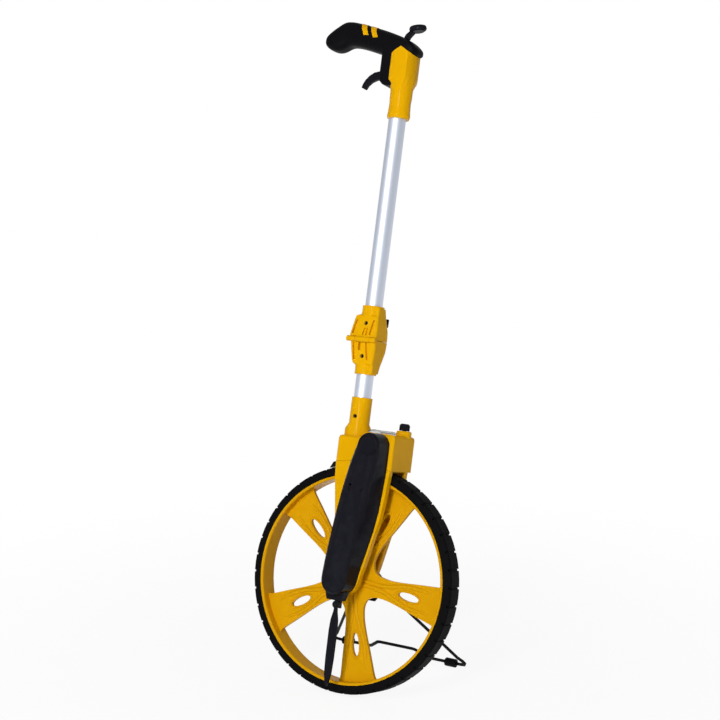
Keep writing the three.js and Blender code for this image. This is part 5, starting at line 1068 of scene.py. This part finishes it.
# The floor in metres, and the share of plain white in it near the wheel and further out.
FLOOR_RADIUS = 14
FLOOR_COLOUR = (0.94, 0.94, 0.94, 1)
WHITE_SPAN = (0.15, 1.1)
WHITE_NEAR_AND_FAR = (0.9, 1.0)


def place_camera():
    data = bpy.data.cameras.new("camera")
    data.lens = LENS_MM
    data.sensor_width = SENSOR_MM
    camera = bpy.data.objects.new("camera", data)
    bpy.context.scene.collection.objects.link(camera)
    camera.location = MACHINE.translation + CAMERA_FROM_WHEEL
    camera.rotation_euler = CAMERA_TURN
    bpy.context.scene.camera = camera


def softbox(name, place, width, height, power, glossy):
    data = bpy.data.lights.new(name, "AREA")
    data.shape = "RECTANGLE"
    data.size = width
    data.size_y = height
    data.energy = power
    light = bpy.data.objects.new(name, data)
    bpy.context.scene.collection.objects.link(light)
    light.location = place
    light.visible_glossy = glossy
    light.rotation_euler = (Vector(MIDDLE) - Vector(place)).to_track_quat("-Z", "Y").to_euler()


def show_apart(tree, lit, shown, kinds=("Is Glossy Ray", "Is Transmission Ray")):
    # The surroundings light the piece in one way, and are shown to the camera and the given rays in another.
    rays = tree.nodes.new("ShaderNodeLightPath")
    seen = rays.outputs["Is Camera Ray"]
    for kind in kinds:
        seen = math_in(tree, "MAXIMUM", seen, rays.outputs[kind])
    return mixed_shader(tree, seen, lit, shown)


def room_behind(tree):
    # The strength of the room in gloss, which changes a little from behind the wheel to the front of it.
    place = tree.nodes.new("ShaderNodeTexCoord")
    front = tree.nodes.new("ShaderNodeVectorMath")
    front.operation = "DOT_PRODUCT"
    tree.links.new(place.outputs["Generated"], front.inputs[0])
    front.inputs[1].default_value = FRONT
    return ramp_in(tree, front.outputs["Value"], FRONT_SPAN, GLOSS_BEHIND_AND_BEFORE, "SMOOTHSTEP")


def background(tree, strength):
    node = tree.nodes.new("ShaderNodeBackground")
    feed(tree, strength, node.inputs["Strength"])
    return node


def light_scene():
    world = bpy.data.worlds.new("studio")
    bpy.context.scene.world = world
    world.use_nodes = True
    tree = world.node_tree
    tree.nodes.clear()
    soft = background(tree, SOFT_LIGHT).outputs["Background"]
    gloss = background(tree, room_behind(tree)).outputs["Background"]
    white = background(tree, 1)
    white.inputs["Color"].default_value = (1, 1, 1, 1)
    out = tree.nodes.new("ShaderNodeOutputWorld")
    rays = tree.nodes.new("ShaderNodeLightPath")
    lit = mixed_shader(tree, rays.outputs["Is Glossy Ray"], soft, gloss)
    shader = show_apart(tree, lit, white.outputs["Background"], ("Is Transmission Ray",))
    tree.links.new(shader, out.inputs["Surface"])
    for name, settings in SOFTBOXES.items():
        softbox(name, *settings)


def lay_floor():
    # A pale floor that keeps the shadow beside the wheel and is plain white further out.
    bpy.ops.mesh.primitive_circle_add(vertices=96, radius=FLOOR_RADIUS, fill_type="NGON", location=(0, 0, 0))
    floor = bpy.context.active_object
    floor.name = "floor"
    material, tree, shader = start_material("pale_floor", 0.9, Specular_IOR_Level=0.1)
    shader.inputs["Base Color"].default_value = FLOOR_COLOUR
    white = tree.nodes.new("ShaderNodeEmission")
    white.inputs["Strength"].default_value = 1
    place = tree.nodes.new("ShaderNodeTexCoord")
    far = tree.nodes.new("ShaderNodeVectorMath")
    far.operation = "LENGTH"
    tree.links.new(place.outputs["Object"], far.inputs[0])
    share = ramp_in(tree, far.outputs["Value"], WHITE_SPAN, WHITE_NEAR_AND_FAR, "SMOOTHSTEP")
    fade = mixed_shader(tree, share, shader.outputs["BSDF"], white.outputs["Emission"])
    seen = show_apart(tree, shader.outputs["BSDF"], fade)
    out = next(node for node in tree.nodes if node.type == "OUTPUT_MATERIAL")
    tree.links.new(seen, out.inputs["Surface"])
    floor.data.materials.append(material)


place_camera()
light_scene()
lay_floor()
dress_frame_pieces()
make_rounded_pieces()
round_the_wire()
make_wheel()
make_spoke_ridges()
make_tread_notches()
make_case_cover()
make_case_cap()
make_housing()
make_grip()
make_hinge()
make_sunk_screws()
make_digits()
make_tube("lower_tube")
make_tube("upper_tube")
bpy.context.scene.view_settings.view_transform = "Standard"
